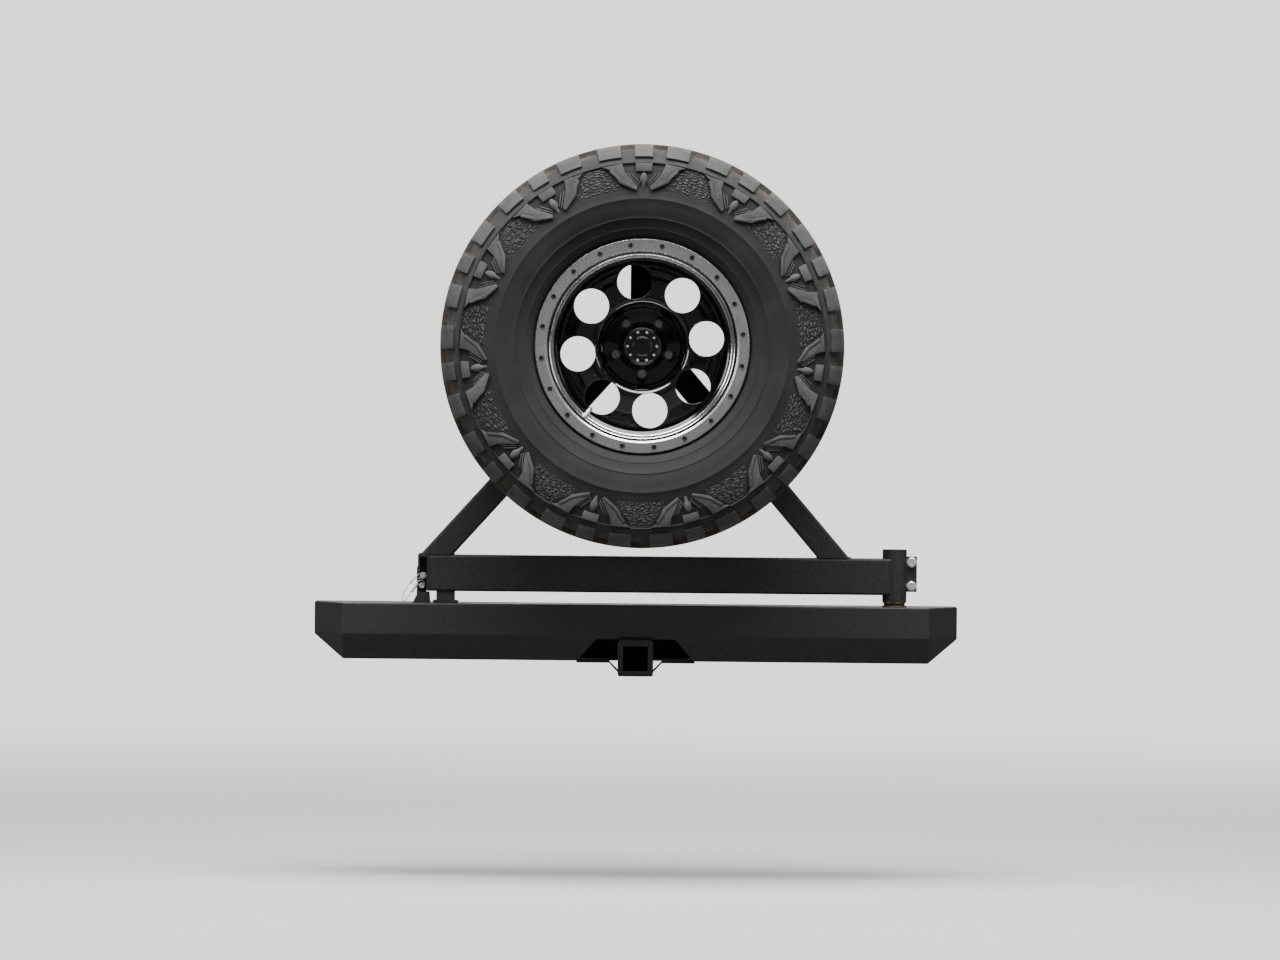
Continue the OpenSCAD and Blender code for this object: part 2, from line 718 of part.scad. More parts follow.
// The pin passes the web and the fixed bracket, and its two balls lock it in front of the bracket
module latch_pin() color(zinc) rearwards(pin_x, handle_front, pin_z) {
    tip = handle_front - upright_y - upright_t - 8;
    translate([0, 0, tip]) {
        cylinder(r1 = pin_r - 2, r2 = pin_r, h = 3);
        translate([0, 0, 3]) cylinder(r = pin_r, h = -tip - 3);
        for (s = [-1, 1]) translate([s * (pin_r - 1), 0, 5.6]) sphere(r = 1.8, $fn = 24);
    }
}

module pin_handle() color(zinc) rearwards(pin_x, handle_front, pin_z) difference() {
    cylinder(r = handle_r, h = handle_l);
    translate([0, 0, handle_l - button_depth]) cylinder(r = button_r + button_clear, h = button_depth + cut);
}

module pin_button() color("#aeb2b8") rearwards(pin_x, handle_rear, pin_z)
    translate([0, 0, -button_depth + button_travel + touch_gap])
        cylinder(r = button_r, h = button_depth - button_travel - touch_gap + button_out);

module lanyard_screw() color(zinc) rearwards(screw_x, web_rear, screw_z) {
    translate([0, 0, -web_t - 3]) cylinder(r = screw_r, h = web_t + 3 + neck_l);
    translate([0, 0, neck_l]) difference() {
        cylinder(r1 = screw_r + 3.4, r2 = screw_r + 2.4, h = 4);
        translate([0, 0, 2]) hex(3.4, 3);
    }
}

// A round cable swept along a path, with the least twist from one ring of points to the next
function unit(v) = v / norm(v);
function path_dir(p, i) = unit(p[min(i + 1, len(p) - 1)] - p[max(i - 1, 0)]);
function across(v, t) = unit(v - (v * t) * t);
function sides_along(p, start, i = 0) = i == len(p) ? [] :
    let (side = across(start, path_dir(p, i))) concat([side], sides_along(p, side, i + 1));
function swept_points(p, r, sides) =
    let (u = sides_along(p, [0, 1, 0]))
    [for (i = [0 : len(p) - 1]) let (v = cross(path_dir(p, i), u[i])) for (k = [0 : sides - 1])
        p[i] + r * (cos(k * 360 / sides) * u[i] + sin(k * 360 / sides) * v)];
function swept_faces(n, sides) = concat(
    [[for (k = [0 : sides - 1]) k]],
    [for (i = [0 : n - 2], k = [0 : sides - 1])
        let (a = i * sides + k, b = i * sides + (k + 1) % sides) [a, a + sides, b + sides, b]],
    [[for (k = [sides - 1 : -1 : 0]) (n - 1) * sides + k]]
);

module lanyard() color(zinc) {
    sides = 8;
    polyhedron(swept_points(lanyard_route, lanyard_d / 2, sides), swept_faces(len(lanyard_route), sides));
}

// A crimp sleeve round the cable and its returned end, from one middle to another
module ferrule(a, b, r) {
    d = b - a;
    translate(a) rotate([0, acos(d[2] / norm(d)), atan2(d[1], d[0])]) cylinder(r = r, h = norm(d));
}

module lanyard_ferrules() color("#b9bcc0") {
    p = lanyard_route;
    ferrule((p[0] + p[14]) / 2, (p[0] + p[14]) / 2 + 0.5 * (p[16] - p[14]), 2.6);
    ferrule((p[30] + p[39]) / 2, (p[30] + p[39]) / 2 + 0.85 * (p[26] - p[30]), 3);
}

// ---- Rest for the closed gate ----

rest_x = beam_left + 34;
rest_w = 38;
rest_l = 46;
rest_t = 6;

module rest_bracket() color(black) difference() {
    translate([rest_x - rest_w / 2 - 7, gate_y - rest_l / 2, top_z]) cube([rest_w + 14, rest_l, rest_t]);
    for (s = [-1, 1]) translate([rest_x, gate_y + s * 12, top_z - cut]) cylinder(r = 2.5, h = rest_t + 2 * cut);
}

module rest_pad() color("#151516") difference() {
    translate([rest_x - rest_w / 2, gate_y - rest_l / 2 + 3, top_z + rest_t])
        cube([rest_w, rest_l - 6, beam_gap - rest_t - touch_gap]);
    for (s = [-1, 1]) translate([rest_x, gate_y + s * 12, top_z + rest_t - cut]) {
        cylinder(r = 2.5, h = beam_gap);
        translate([0, 0, 8]) cylinder(r = 6, h = beam_gap);
    }
}

module rest_screws() color(zinc) for (s = [-1, 1]) translate([rest_x, gate_y + s * 12, top_z]) {
    cylinder(r = 2.5, h = rest_t + 7);
    translate([0, 0, rest_t + 7]) cylinder(r1 = 4.5, r2 = 5.5, h = 3);
}

// ---- Rim: outlines hold the radius and the distance outwards from the mounting face ----

module rim_barrel() color("#1a1a1c") at_wheel() {
    inner = seat_r - rim_wall;
    rotate_extrude() polygon([
        [inner, rim_front], [rim_r, rim_front], [rim_r, rim_front - 6], [seat_r + 6, rim_front - 7],
        [seat_r, rim_front - 12], [seat_r, rim_front - 36], [seat_r - 3, rim_front - 40],
        [drop_r, rim_front - 52], [drop_r, rim_back + 115], [seat_r - 3, rim_back + 42],
        [seat_r, rim_back + 36], [seat_r, rim_back + 12], [seat_r + 6, rim_back + 7],
        [rim_r, rim_back + 6], [rim_r, rim_back], [rim_r - 13, rim_back],
        [inner, rim_back + 6], [inner, rim_back + 38], [inner - 3, rim_back + 44],
        [drop_r - rim_wall, rim_back + 115], [drop_r - rim_wall, rim_front - 54],
        [inner - 3, rim_front - 42], [inner, rim_front - 36]
    ]);
}

module rim_disc() color("#1a1a1c") at_wheel() difference() {
    outer = drop_r - rim_wall;
    rotate_extrude() polygon([
        [36, 0], [82, 0], [88, 8], [92, 42], [98, 54], [112, 53], [140, 44], [outer - 8, 36], [outer, 36],
        [outer, 48], [outer - 8, 48], [140, 56], [112, 66], [99, 67], [89, 60], [82, 22], [78, hub_pad_t],
        [36, hub_pad_t]
    ]);
    round_pattern(window_count, window_ring_r, pattern_turn) cylinder(d = window_d, h = 90);
    round_pattern(stud_count, stud_circle / 2, -90) {
        translate([0, 0, -cut]) cylinder(r = stud_r + 1.1, h = 20);
        translate([0, 0, hub_pad_t - 5]) cylinder(r1 = stud_r + 1.1, r2 = stud_r + 4.2, h = 5.01);
    }
}

module lip_ring() color("#c4c7cb") at_wheel() difference() {
    translate([0, 0, rim_front]) rotate_extrude() polygon([
        [seat_r - rim_wall - 3, 0], [rim_r - 0.5, 0], [rim_r - 0.5, ring_t - 1.5], [rim_r - 2, ring_t],
        [seat_r - rim_wall + 1, ring_t], [seat_r - rim_wall - 3, ring_t - 3]
    ]);
    round_pattern(ring_bolt_count, rim_r - 12.5, pattern_turn)
        translate([0, 0, rim_front - cut]) cylinder(r = 4, h = ring_t + 2 * cut);
}

module ring_bolts() color("#2c2c2e") at_wheel() round_pattern(ring_bolt_count, rim_r - 12.5, pattern_turn)
    translate([0, 0, rim_front]) difference() {
        union() {
            cylinder(r = 4, h = ring_t);
            translate([0, 0, ring_t]) cylinder(r1 = 5.2, r2 = 4.2, h = 2.5);
        }
        translate([0, 0, ring_t]) hex(4, 3);
    }

module centre_cap() color("#1a1a1c") at_wheel() {
    cap_top = 44;
    difference() {
        union() {
            translate([0, 0, 3]) cylinder(r = 35.8, h = hub_pad_t - 3 + cut);
            translate([0, 0, hub_pad_t]) cylinder(r = cap_r, h = cap_top - hub_pad_t);
            translate([0, 0, cap_top]) cylinder(r1 = cap_r, r2 = cap_r - 2, h = 2);
        }
        translate([0, 0, cap_top - 1]) cylinder(r = cap_r - 5, h = 4);
        translate([0, 0, 3 - cut]) cylinder(r = 32, h = 30);
    }
    translate([0, 0, cap_top - 1]) cylinder(r1 = 20, r2 = 18, h = 2.5);
}

module cap_screws() color(zinc) at_wheel() round_pattern(10, cap_r - 9.5, 0)
    translate([0, 0, 43]) difference() {
        cylinder(r = 2.6, h = 2.2);
        translate([0, 0, 1]) hex(2.4, 2);
    }

// Closed nuts with a conical seat; the studs slide in their bores
module lug_nuts() color("#3a3a3d") at_wheel() round_pattern(stud_count, stud_circle / 2, -90) difference() {
    union() {
        translate([0, 0, hub_pad_t - 5]) cylinder(r1 = stud_r + 1.1, r2 = stud_r + 4.2, h = 5.01);
        translate([0, 0, hub_pad_t]) intersection() {
            hex(nut_af, nut_l);
            cylinder(r1 = nut_af / 2 + 10, r2 = nut_af / 2 - 1.5, h = nut_l);
        }
    }
    translate([0, 0, hub_pad_t - 6]) cylinder(r = stud_r + 0.08, h = stud_l - hub_pad_t + 6.5);
}

// The valve leans in from the rim's shoulder
module at_valve() at_wheel() rotate(-129) translate([drop_r + 6, 0, rim_front - 46]) rotate([0, -55, 0]) children();
module valve_stem() color(zinc) at_valve() {
    translate([0, 0, -4]) cylinder(r = 4, h = 20);
    translate([0, 0, 2]) hex(11, 4);
}
module valve_cap() color("#e4e6e8") at_valve() translate([0, 0, 16]) {
    cylinder(r = 4.6, h = 9);
    translate([0, 0, 9]) cylinder(r1 = 4.6, r2 = 3.4, h = 1.5);
}

// ---- Tire: half outlines, from the widest point to the crown and to the bead ----

function crown_arc(r0, r1, w, n) = [for (t = [0 : 90 / n : 90])
    [r0 + (r1 - r0) * sqrt(sin(t)), w * sqrt(cos(t))]];
function side_arc(r0, r1, w0, w1, n) = [for (t = [0 : 90 / n : 90 - 90 / n])
    [r0 - (r0 - r1) * cos(t), w0 - (w0 - w1) * (1 - sin(t))]];
function mirrored(p) = [for (i = [len(p) - 1 : -1 : 0]) [p[i][0], -p[i][1]]];

bead_w = rim_w / 2 - 7.2;
bead_outline = [[seat_r, bead_w - 30], [seat_r, bead_w - 5.4], [seat_r + 6, bead_w - 0.4]];
outer_half = concat(
    bead_outline,
    side_arc(widest_r, rim_r + 2, tire_w / 2, bead_w, 6),
    crown_arc(widest_r, tire_r, tire_w / 2, 12)
);
inner_half = concat(
    [[seat_r, bead_w - 29], [seat_r + 10, bead_w - 22]],
    side_arc(widest_r, rim_r + 2, tire_w / 2 - sidewall_t, bead_w - sidewall_t, 6),
    crown_arc(widest_r, tire_r - tread_t, tire_w / 2 - sidewall_t, 10)
);

module tire_ring() rotate_extrude() polygon(concat(outer_half, mirrored(outer_half)));

module tire() color("#2a2a2b") at_wheel() translate([0, 0, rim_mid]) difference() {
    tire_ring();
    rotate_extrude() polygon(concat([[seat_r - cut, bead_w - 29]], inner_half, mirrored(inner_half), [[seat_r - cut, -bead_w + 29]]));
    for (s = [-1, 1]) {
        translate([0, 0, s * 42 - 5]) ring(tire_r + 5, tire_r - groove_d, 0, 10);
        for (i = [0 : lug_count - 1]) rotate((i + (s > 0 ? 0.5 : 0)) * 360 / lug_count)
            translate([tire_r - groove_d, -7, s > 0 ? 52 : -tire_w / 2 - 1]) cube([2 * groove_d, 14, tire_w / 2 - 51]);
    }
}

// ---- Drawing ----

bumper_shell();
left_chin();
right_chin();
bumper_floor();
left_wing();
right_wing();
left_frame_bracket();
right_frame_bracket();
receiver_tube();
receiver_collar();
receiver_strap();
receiver_back_plate();
spindle_doubler();
spindle_boss();
hinge_spindle();
thrust_washer();
spindle_washer();
spindle_nut();
spindle_cotter();
latch_bracket();
rest_bracket();
rest_pad();
rest_screws();
hinge_housing();
lower_bush();
upper_bush();
hinge_cap();
grease_nipple();
clamp_bolts();
clamp_nuts();
gate_beam();
beam_end_plate();
latch_channel();
left_brace();
right_brace();
mast();
mast_cap();
mast_foot();
mast_flange();
standoff_flange();
standoff_tube();
stud_plate();
flange_bolts();
wheel_studs();
lanyard_screw();
lanyard();
lanyard_ferrules();
latch_pin();
pin_handle();
pin_button();
tire();
rim_barrel();
rim_disc();
lip_ring();
ring_bolts();
centre_cap();
cap_screws();
lug_nuts();
valve_stem();
valve_cap();
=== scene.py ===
"""Swing-out spare tire carrier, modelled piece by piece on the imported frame.

A bumper with a hinged gate, its latch and the spare wheel."""

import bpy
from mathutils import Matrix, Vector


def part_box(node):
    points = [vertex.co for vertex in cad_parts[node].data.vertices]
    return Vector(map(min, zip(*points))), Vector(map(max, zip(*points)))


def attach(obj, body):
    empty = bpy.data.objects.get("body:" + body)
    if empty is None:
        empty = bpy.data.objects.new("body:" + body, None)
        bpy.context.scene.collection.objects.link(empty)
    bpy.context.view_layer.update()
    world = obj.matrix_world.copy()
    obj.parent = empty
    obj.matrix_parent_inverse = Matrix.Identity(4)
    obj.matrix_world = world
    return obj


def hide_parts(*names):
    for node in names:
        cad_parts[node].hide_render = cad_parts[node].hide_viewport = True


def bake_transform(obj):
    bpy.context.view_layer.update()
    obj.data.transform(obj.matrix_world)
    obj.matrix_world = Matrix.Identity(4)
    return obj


bl_info = {
    "name": "Spare Tire Carrier",
    "version": (1, 0, 0),
    "blender": (4, 5, 0),
    "location": "View3D > Sidebar > Carrier",
    "description": "Models a bumper, its swing-out gate, latch and spare wheel on a packed frame",
    "category": "Add Mesh",
}

from math import atan2, cos, degrees, hypot, pi, radians, sin

import bpy
from bpy.props import FloatProperty, FloatVectorProperty, IntProperty, PointerProperty
from bpy.types import Operator, Panel, PropertyGroup
from mathutils import Matrix, Vector

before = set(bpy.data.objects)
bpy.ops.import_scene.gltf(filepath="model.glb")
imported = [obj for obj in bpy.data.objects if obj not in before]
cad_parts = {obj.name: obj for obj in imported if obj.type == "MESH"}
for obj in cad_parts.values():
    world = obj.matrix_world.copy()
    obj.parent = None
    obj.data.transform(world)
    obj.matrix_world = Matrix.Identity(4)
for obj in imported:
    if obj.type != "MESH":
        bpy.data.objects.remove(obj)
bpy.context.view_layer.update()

MM = 0.001


def middle(node):
    low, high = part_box(node)
    return (Vector(low) + Vector(high)) / 2


WHEEL = middle("lip_ring")
TIRE_LOW, TIRE_HIGH = (Vector(corner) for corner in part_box("tire"))
RING_LOW, RING_HIGH = (Vector(corner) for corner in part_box("lip_ring"))
HINGE = middle("hinge_spindle")
BUMPER_LOW, BUMPER_HIGH = (Vector(corner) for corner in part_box("bumper_shell"))
BUMPER_LOW.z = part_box("left_chin")[0][2]
WING_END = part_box("right_wing")[1][0]


def object_mode():
    bpy.ops.object.mode_set(mode="OBJECT")


# ---- Sizes and colours that a user would change ----


def length_property(name, description, default):
    return FloatProperty(name=name, description=description, default=default, unit="LENGTH")


def colour_property(name, description, default):
    return FloatVectorProperty(name=name, description=description, subtype="COLOR", default=default)


class TireSizes(PropertyGroup):
    outer_radius: length_property("Outer radius", "Radius over the tread blocks", (TIRE_HIGH.z - TIRE_LOW.z) / 2)
    half_width: length_property("Half width", "Half of the width at the widest point",
        (TIRE_HIGH.y - TIRE_LOW.y) / 2)
    widest_radius: length_property("Widest radius", "Radius at which the sidewalls are widest", 0.29975)
    block_height: length_property("Block height",
        "Height of the shoulder blocks over the panels between them", 0.0055)
    void_depth: length_property("Void depth", "Depth of the tread voids below those panels", 0.0065)
    motifs: IntProperty(name="Shoulder motifs", description="Number of winged motifs round each shoulder",
        default=11)
    edge_radius: length_property("Edge radius", "Rounding of the moulded edges", 0.0011)


class SteelSizes(PropertyGroup):
    plate: length_property("Plate", "Thickness of the bumper plate", 0.005)
    fold_radius: length_property("Fold radius", "Outside radius of the folds in the plate", 0.007)
    bead_radius: length_property("Weld bead", "Radius of a weld bead", 0.0032)
    cable: length_property("Cable", "Diameter of the lanyard", 0.002)


class Colours(PropertyGroup):
    coat: colour_property("Powder coat", "Textured black coat", (0.027, 0.0272, 0.0282))
    dust: colour_property("Dust", "Dry dust on level faces", (0.105, 0.096, 0.083))
    rubber: colour_property("Rubber", "Tire rubber", (0.0185, 0.0185, 0.0186))
    # The greyer rubber of the shoulder's patch. It is also the base of the raised tops, where its lighter grey is
    # painted light.
    worn_and_lit_rubber: colour_property("Bloomed rubber", "Greyer rubber of the shoulder", (0.088, 0.090, 0.090))
    gloss: colour_property("Gloss black", "Wheel paint", (0.0022, 0.0022, 0.0025))
    polished: colour_property("Polished aluminium", "Lip ring and rim step", (0.52, 0.517, 0.51))
    zinc: colour_property("Zinc", "Plated fasteners and pin", (0.84, 0.85, 0.87))
    bronze: colour_property("Bronze", "Bushes and thrust washer", (0.48, 0.29, 0.11))
    stage: colour_property("Stage", "Floor and surroundings", (0.78, 0.78, 0.77))


# ---- Materials: arithmetic on sockets, and one way to add any other node ----


class Wire:
    """An output socket that takes part in sums, each of which adds a Math node."""

    def __init__(self, finish, socket):
        self.finish = finish
        self.socket = socket

    def sum(self, kind, first, second):
        return self.finish.node("ShaderNodeMath", {"operation": kind}, {0: first, 1: second})

    def __add__(self, other):
        return self.sum("ADD", self, other)

    def __radd__(self, other):
        return self.sum("ADD", other, self)

    def __sub__(self, other):
        return self.sum("SUBTRACT", self, other)

    def __rsub__(self, other):
        return self.sum("SUBTRACT", other, self)

    def __mul__(self, other):
        return self.sum("MULTIPLY", self, other)

    def __rmul__(self, other):
        return self.sum("MULTIPLY", other, self)

    def __truediv__(self, other):
        return self.sum("DIVIDE", self, other)


class Finish:
    """A material, with its nodes added by name, settings and socket values."""

    def __init__(self, name):
        self.material = bpy.data.materials.new(name)
        self.material.use_nodes = True
        self.tree = self.material.node_tree
        self.shader = self.tree.nodes["Principled BSDF"]
        self.places = None

    def node(self, kind, settings=None, values=None, out=0):
        new = self.tree.nodes.new(kind)
        for key, value in (settings or {}).items():
            if key == "stops":
                ramp = new.color_ramp
                while len(ramp.elements) < len(value):
                    ramp.elements.new(1.0)
                for element, (place, colour) in zip(ramp.elements, value):
                    element.position = place
                    element.color = (*colour, 1)
            else:
                setattr(new, key, value)
        for key, value in (values or {}).items():
            if isinstance(value, Wire):
                self.tree.links.new(value.socket, new.inputs[key])
            else:
                new.inputs[key].default_value = value
        return Wire(self, new.outputs[out])

    def place(self):
        if self.places is None:
            self.places = self.node("ShaderNodeTexCoord", out=3)
        return self.places

    def moved(self, centre=(0, 0, 0), scale=(1, 1, 1), turn=(0, 0, 0)):
        """Object coordinates measured from a centre, then stretched."""
        shifted = self.node("ShaderNodeVectorMath", {"operation": "SUBTRACT"}, {0: self.place(), 1: centre})
        return self.node("ShaderNodeMapping", {}, {"Vector": shifted, "Scale": scale, "Rotation": turn})

    def part(self, vector, axis):
        return self.node("ShaderNodeSeparateXYZ", {}, {0: vector}, "XYZ".index(axis))

    def maths(self, kind, first, second=0.0):
        return self.node("ShaderNodeMath", {"operation": kind}, {0: first, 1: second})

    def noise(self, scale, detail=3.0, rough=0.5, at=None, warp=0.0):
        return self.node(
            "ShaderNodeTexNoise", {}, {"Vector": at or self.place(), "Scale": scale, "Detail": detail,
                "Roughness": rough, "Distortion": warp}
        )

    def cells(self, scale, at=None, feature="F1", out=0):
        return self.node("ShaderNodeTexVoronoi", {"feature": feature},
            {"Vector": at or self.place(), "Scale": scale}, out)

    def rise(self, value, low, high, to_low=0.0, to_high=1.0):
        """A smooth step of value from low to high."""
        return self.node(
            "ShaderNodeMapRange",
            {"interpolation_type": "SMOOTHSTEP"},
            {"Value": value, "From Min": low, "From Max": high, "To Min": to_low, "To Max": to_high},
        )

    def band(self, value, low, high, soft):
        return self.rise(value, low - soft, low + soft) * self.rise(value, high - soft, high + soft, 1.0, 0.0)

    def mix(self, amount, first, second):
        """A colour between two colours."""
        first, second = ((*c, 1) if isinstance(c, (tuple, list)) else c for c in (first, second))
        return self.node("ShaderNodeMix", {"data_type": "RGBA"}, {0: amount, 6: first, 7: second}, 2)

    def upward(self):
        return self.part(self.node("ShaderNodeNewGeometry", out=1), "Z")

    def feed(self, name, value):
        socket = self.shader.inputs[name]
        if isinstance(value, Wire):
            self.tree.links.new(value.socket, socket)
        else:
            socket.default_value = (*value, 1) if isinstance(value, (tuple, list)) and len(value) == 3 else value

    def bump(self, height, depth, under=None):
        values = {"Height": height, "Distance": depth, "Strength": 1.0}
        if under is not None:
            values["Normal"] = under
        return self.node("ShaderNodeBump", {}, values)

    def done(self, colour, rough, metal=0.0, normal=None, **constants):
        self.feed("Base Color", colour)
        self.feed("Roughness", rough)
        self.feed("Metallic", metal)
        if normal is not None:
            self.feed("Normal", normal)
        for name, value in constants.items():
            self.feed(name.replace("_", " "), value)
        return self.material


FINISHES = {}


def finish_named(name):
    if name not in FINISHES:
        FINISHES[name] = MAKERS[name](bpy.context.scene.carrier_colours)
    return FINISHES[name]


def powder_coat(colours):
    f = Finish("textured_powder_coat")
    grain = f.noise(620, 2, 0.55)
    fine = f.noise(1500, 2, 0.6)
    cloud = f.noise(5, 4, 0.6)
    streak = f.noise(1, 4, 0.6, f.moved(scale=(34, 34, 3)))
    level = f.rise(f.upward(), 0.35, 0.95)
    speck = f.rise(f.noise(150, 2, 0.5), 0.66, 0.72) * 0.5
    settled = level * f.rise(cloud, 0.32, 0.72) * 0.55 + speck * f.rise(cloud, 0.45, 0.7) * 0.5
    dry = f.mix(f.rise(streak, 0.4, 0.75) * 0.35, tuple(colours.coat), (0.030, 0.030, 0.031))
    colour = f.mix(f.rise(grain, 0.42, 0.62), dry, f.mix(0.62, dry, (0.007, 0.007, 0.0075)))
    mottle = f.rise(f.noise(280, 3, 0.7), 0.35, 0.68)
    colour = f.mix(mottle * 0.5, colour, (0.052, 0.052, 0.053))
    colour = f.mix(settled, colour, tuple(colours.dust))
    rough = 0.46 + f.rise(fine, 0.3, 0.7) * 0.12 + settled * 0.3
    normal = f.bump(grain + fine * 0.4, 0.00042)
    return f.done(colour, rough, 0.0, normal, Specular_IOR_Level=0.34)


def zinc_plate(colours):
    f = Finish("zinc_plate")
    cloud = f.noise(60, 3, 0.6)
    colour = f.mix(f.rise(cloud, 0.35, 0.7), tuple(colours.zinc), (0.64, 0.65, 0.65))
    rough = 0.30 + f.rise(f.noise(300, 2, 0.5), 0.3, 0.8) * 0.2
    return f.done(colour, rough, 0.62, f.bump(f.noise(900, 2, 0.5), 0.00004))


def steel_cable(colours):
    f = Finish("steel_cable")
    colour = f.mix(f.rise(f.noise(900, 2, 0.6), 0.4, 0.65), (0.86, 0.84, 0.82), (0.58, 0.56, 0.55))
    return f.done(colour, 0.3 + f.noise(500, 1, 0.5) * 0.15, 0.45)


def ground_steel(colours):
    f = Finish("ground_steel")
    turned = f.noise(1, 2, 0.5, f.moved(scale=(6, 6, 900)))
    colour = f.mix(f.rise(f.noise(40, 3, 0.6), 0.4, 0.7), (0.36, 0.37, 0.38), (0.24, 0.235, 0.22))
    return f.done(colour, 0.28 + turned * 0.16, 1.0, f.bump(turned, 0.00003))


def bronze(colours):
    f = Finish("bronze")
    colour = f.mix(f.rise(f.noise(70, 3, 0.6), 0.4, 0.7), tuple(colours.bronze), (0.22, 0.13, 0.06))
    return f.done(colour, 0.34 + f.noise(400, 2, 0.5) * 0.14, 1.0, f.bump(f.noise(700, 1, 0.5), 0.00003))


def moulded_rubber(colours):
    f = Finish("moulded_rubber")
    cloud = f.noise(90, 3, 0.6)
    colour = f.mix(f.rise(cloud, 0.35, 0.7), (0.020, 0.020, 0.021), (0.040, 0.039, 0.037))
    return f.done(colour, 0.72 + cloud * 0.1, 0.0, f.bump(f.noise(700, 2, 0.5), 0.00010))


def black_plastic(colours):
    f = Finish("black_plastic")
    grain = f.noise(900, 2, 0.5)
    colour = f.mix(f.rise(grain, 0.4, 0.7), (0.016, 0.016, 0.017), (0.024, 0.024, 0.025))
    return f.done(colour, 0.42 + grain * 0.12, 0.0, f.bump(grain, 0.00006))


def black_oxide(colours):
    f = Finish("black_oxide")
    cloud = f.noise(160, 3, 0.6)
    colour = f.mix(f.rise(cloud, 0.4, 0.7), (0.045, 0.045, 0.047), (0.10, 0.095, 0.085))
    return f.done(colour, 0.30 + cloud * 0.2, 0.85, f.bump(f.noise(900, 1, 0.5), 0.00004))


def dark_chrome(colours):
    f = Finish("dark_chrome")
    film = f.noise(160, 3, 0.6)
    colour = f.mix(f.rise(film, 0.4, 0.7), (0.24, 0.24, 0.25), (0.13, 0.125, 0.12))
    return f.done(colour, 0.16 + film * 0.16, 0.9)


def wheel_polar(f):
    """The radius from the wheel axis, the angle from the top, and the angle from the nearest motif's middle."""
    local = f.moved(tuple(WHEEL))
    x, z = f.part(local, "X"), f.part(local, "Z")
    radius = f.maths("SQRT", x * x + z * z)
    angle = f.maths("ARCTAN2", x, z) * (180 / pi)
    return radius, angle, f.maths("PINGPONG", angle, 180 / bpy.context.scene.carrier_tire.motifs)


def tire_rubber(colours):
    """Dark rubber: bark-like scales between the motifs, fine rings lower down, dust near the tread."""
    f = Finish("tire_rubber")
    radius, angle, within = wheel_polar(f)
    cloud = f.noise(9, 4, 0.6)
    fine = f.noise(420, 3, 0.6)
    # The patch of scales widens inwards between one motif's wings and the next one's
    edge = 13.0 - f.rise(radius, 0.322, 0.371, 5.0, 0.0)
    patch = f.rise(within - edge, -0.5, 0.5) * f.band(radius, 0.321, 0.3705, 0.0025)
    scales_at = f.node("ShaderNodeCombineXYZ", {}, {0: angle * 0.50, 1: radius * 190, 2: 0.0})
    wavy = f.node("ShaderNodeVectorMath", {"operation": "ADD"}, {0: scales_at, 1: f.noise(60, 2, 0.5)})
    scale = f.rise(f.cells(1.0, wavy, "DISTANCE_TO_EDGE"), 0.0, 0.34)
    bloom = f.mix(f.rise(cloud, 0.35, 0.7), tuple(colours.rubber), tuple(c * 1.5 for c in colours.rubber))
    lighter = f.mix(patch * scale * 0.7, bloom, tuple(colours.worn_and_lit_rubber))
    upper = f.rise(radius, 0.372, 0.379) * (0.25 + f.rise(f.noise(40, 3, 0.6), 0.4, 0.7) * 0.35)
    grey = f.mix(upper, lighter, tuple(c * 0.8 for c in colours.worn_and_lit_rubber))
    brown = f.rise(radius, 0.384, 0.404) * f.rise(f.noise(30, 4, 0.65), 0.40, 0.62) * 0.7
    colour = f.mix(brown, grey, (0.115, 0.088, 0.063))
    rings = f.maths("SINE", radius * (2 * pi / 0.0021)) * f.band(radius, 0.2345, 0.2960, 0.002) * 0.5
    rough = 0.68 + f.rise(cloud, 0.3, 0.7) * 0.14
    height = fine * 0.10 + patch * scale * 1.7 + rings * 0.07
    return f.done(colour, rough, 0.0, f.bump(height, 0.0016), Specular_IOR_Level=0.22)


def raised_rubber_painted_lit(colours):
    """The tops of the shoulder blocks and motifs. Their lighter grey is painted light on the raised tops, and it
    leaves the darker casing between them as painted shade in the recesses. Real scuffs and brown dust are caught along
    the tread's edge.
    """
    f = Finish("raised_rubber_painted_lit")
    radius = wheel_polar(f)[0]
    cloud = f.noise(11, 4, 0.6)
    scuffed = f.rise(f.noise(150, 3, 0.65), 0.52, 0.70)
    # Painted light: the raised tops are a lighter grey than the casing rubber, standing in for the light that falls on
    # them.
    grey = f.mix(f.rise(cloud, 0.3, 0.7), tuple(c * 0.62 for c in colours.worn_and_lit_rubber), tuple(colours.worn_and_lit_rubber))
    # Real scuffs, lighter still, over that painted light.
    scuffed_and_lit = f.mix(scuffed * 0.35, grey, tuple(c * 1.7 for c in colours.worn_and_lit_rubber))
    brown = f.rise(radius, 0.4005, 0.4100) * f.rise(f.noise(34, 4, 0.65), 0.42, 0.60) * 0.65
    colour = f.mix(brown, scuffed_and_lit, (0.150, 0.120, 0.090))
    return f.done(colour, 0.74 + cloud * 0.12, 0.0,
        f.bump(f.noise(420, 3, 0.6) * 0.6 + scuffed * 0.2, 0.0006), Specular_IOR_Level=0.25)


def gloss_black(colours):
    f = Finish("gloss_black")
    spots = f.rise(f.noise(120, 2, 0.5), 0.68, 0.72)
    film = f.rise(f.noise(14, 4, 0.6), 0.45, 0.8)
    colour = f.mix(spots * 0.35 + film * 0.03, tuple(colours.gloss), (0.10, 0.095, 0.085))
    rough = 0.07 + film * 0.10 + spots * 0.3
    return f.done(colour, rough, 0.0, f.bump(f.noise(90, 1, 0.5), 0.00004), Coat_Weight=0.6, Coat_Roughness=0.04)


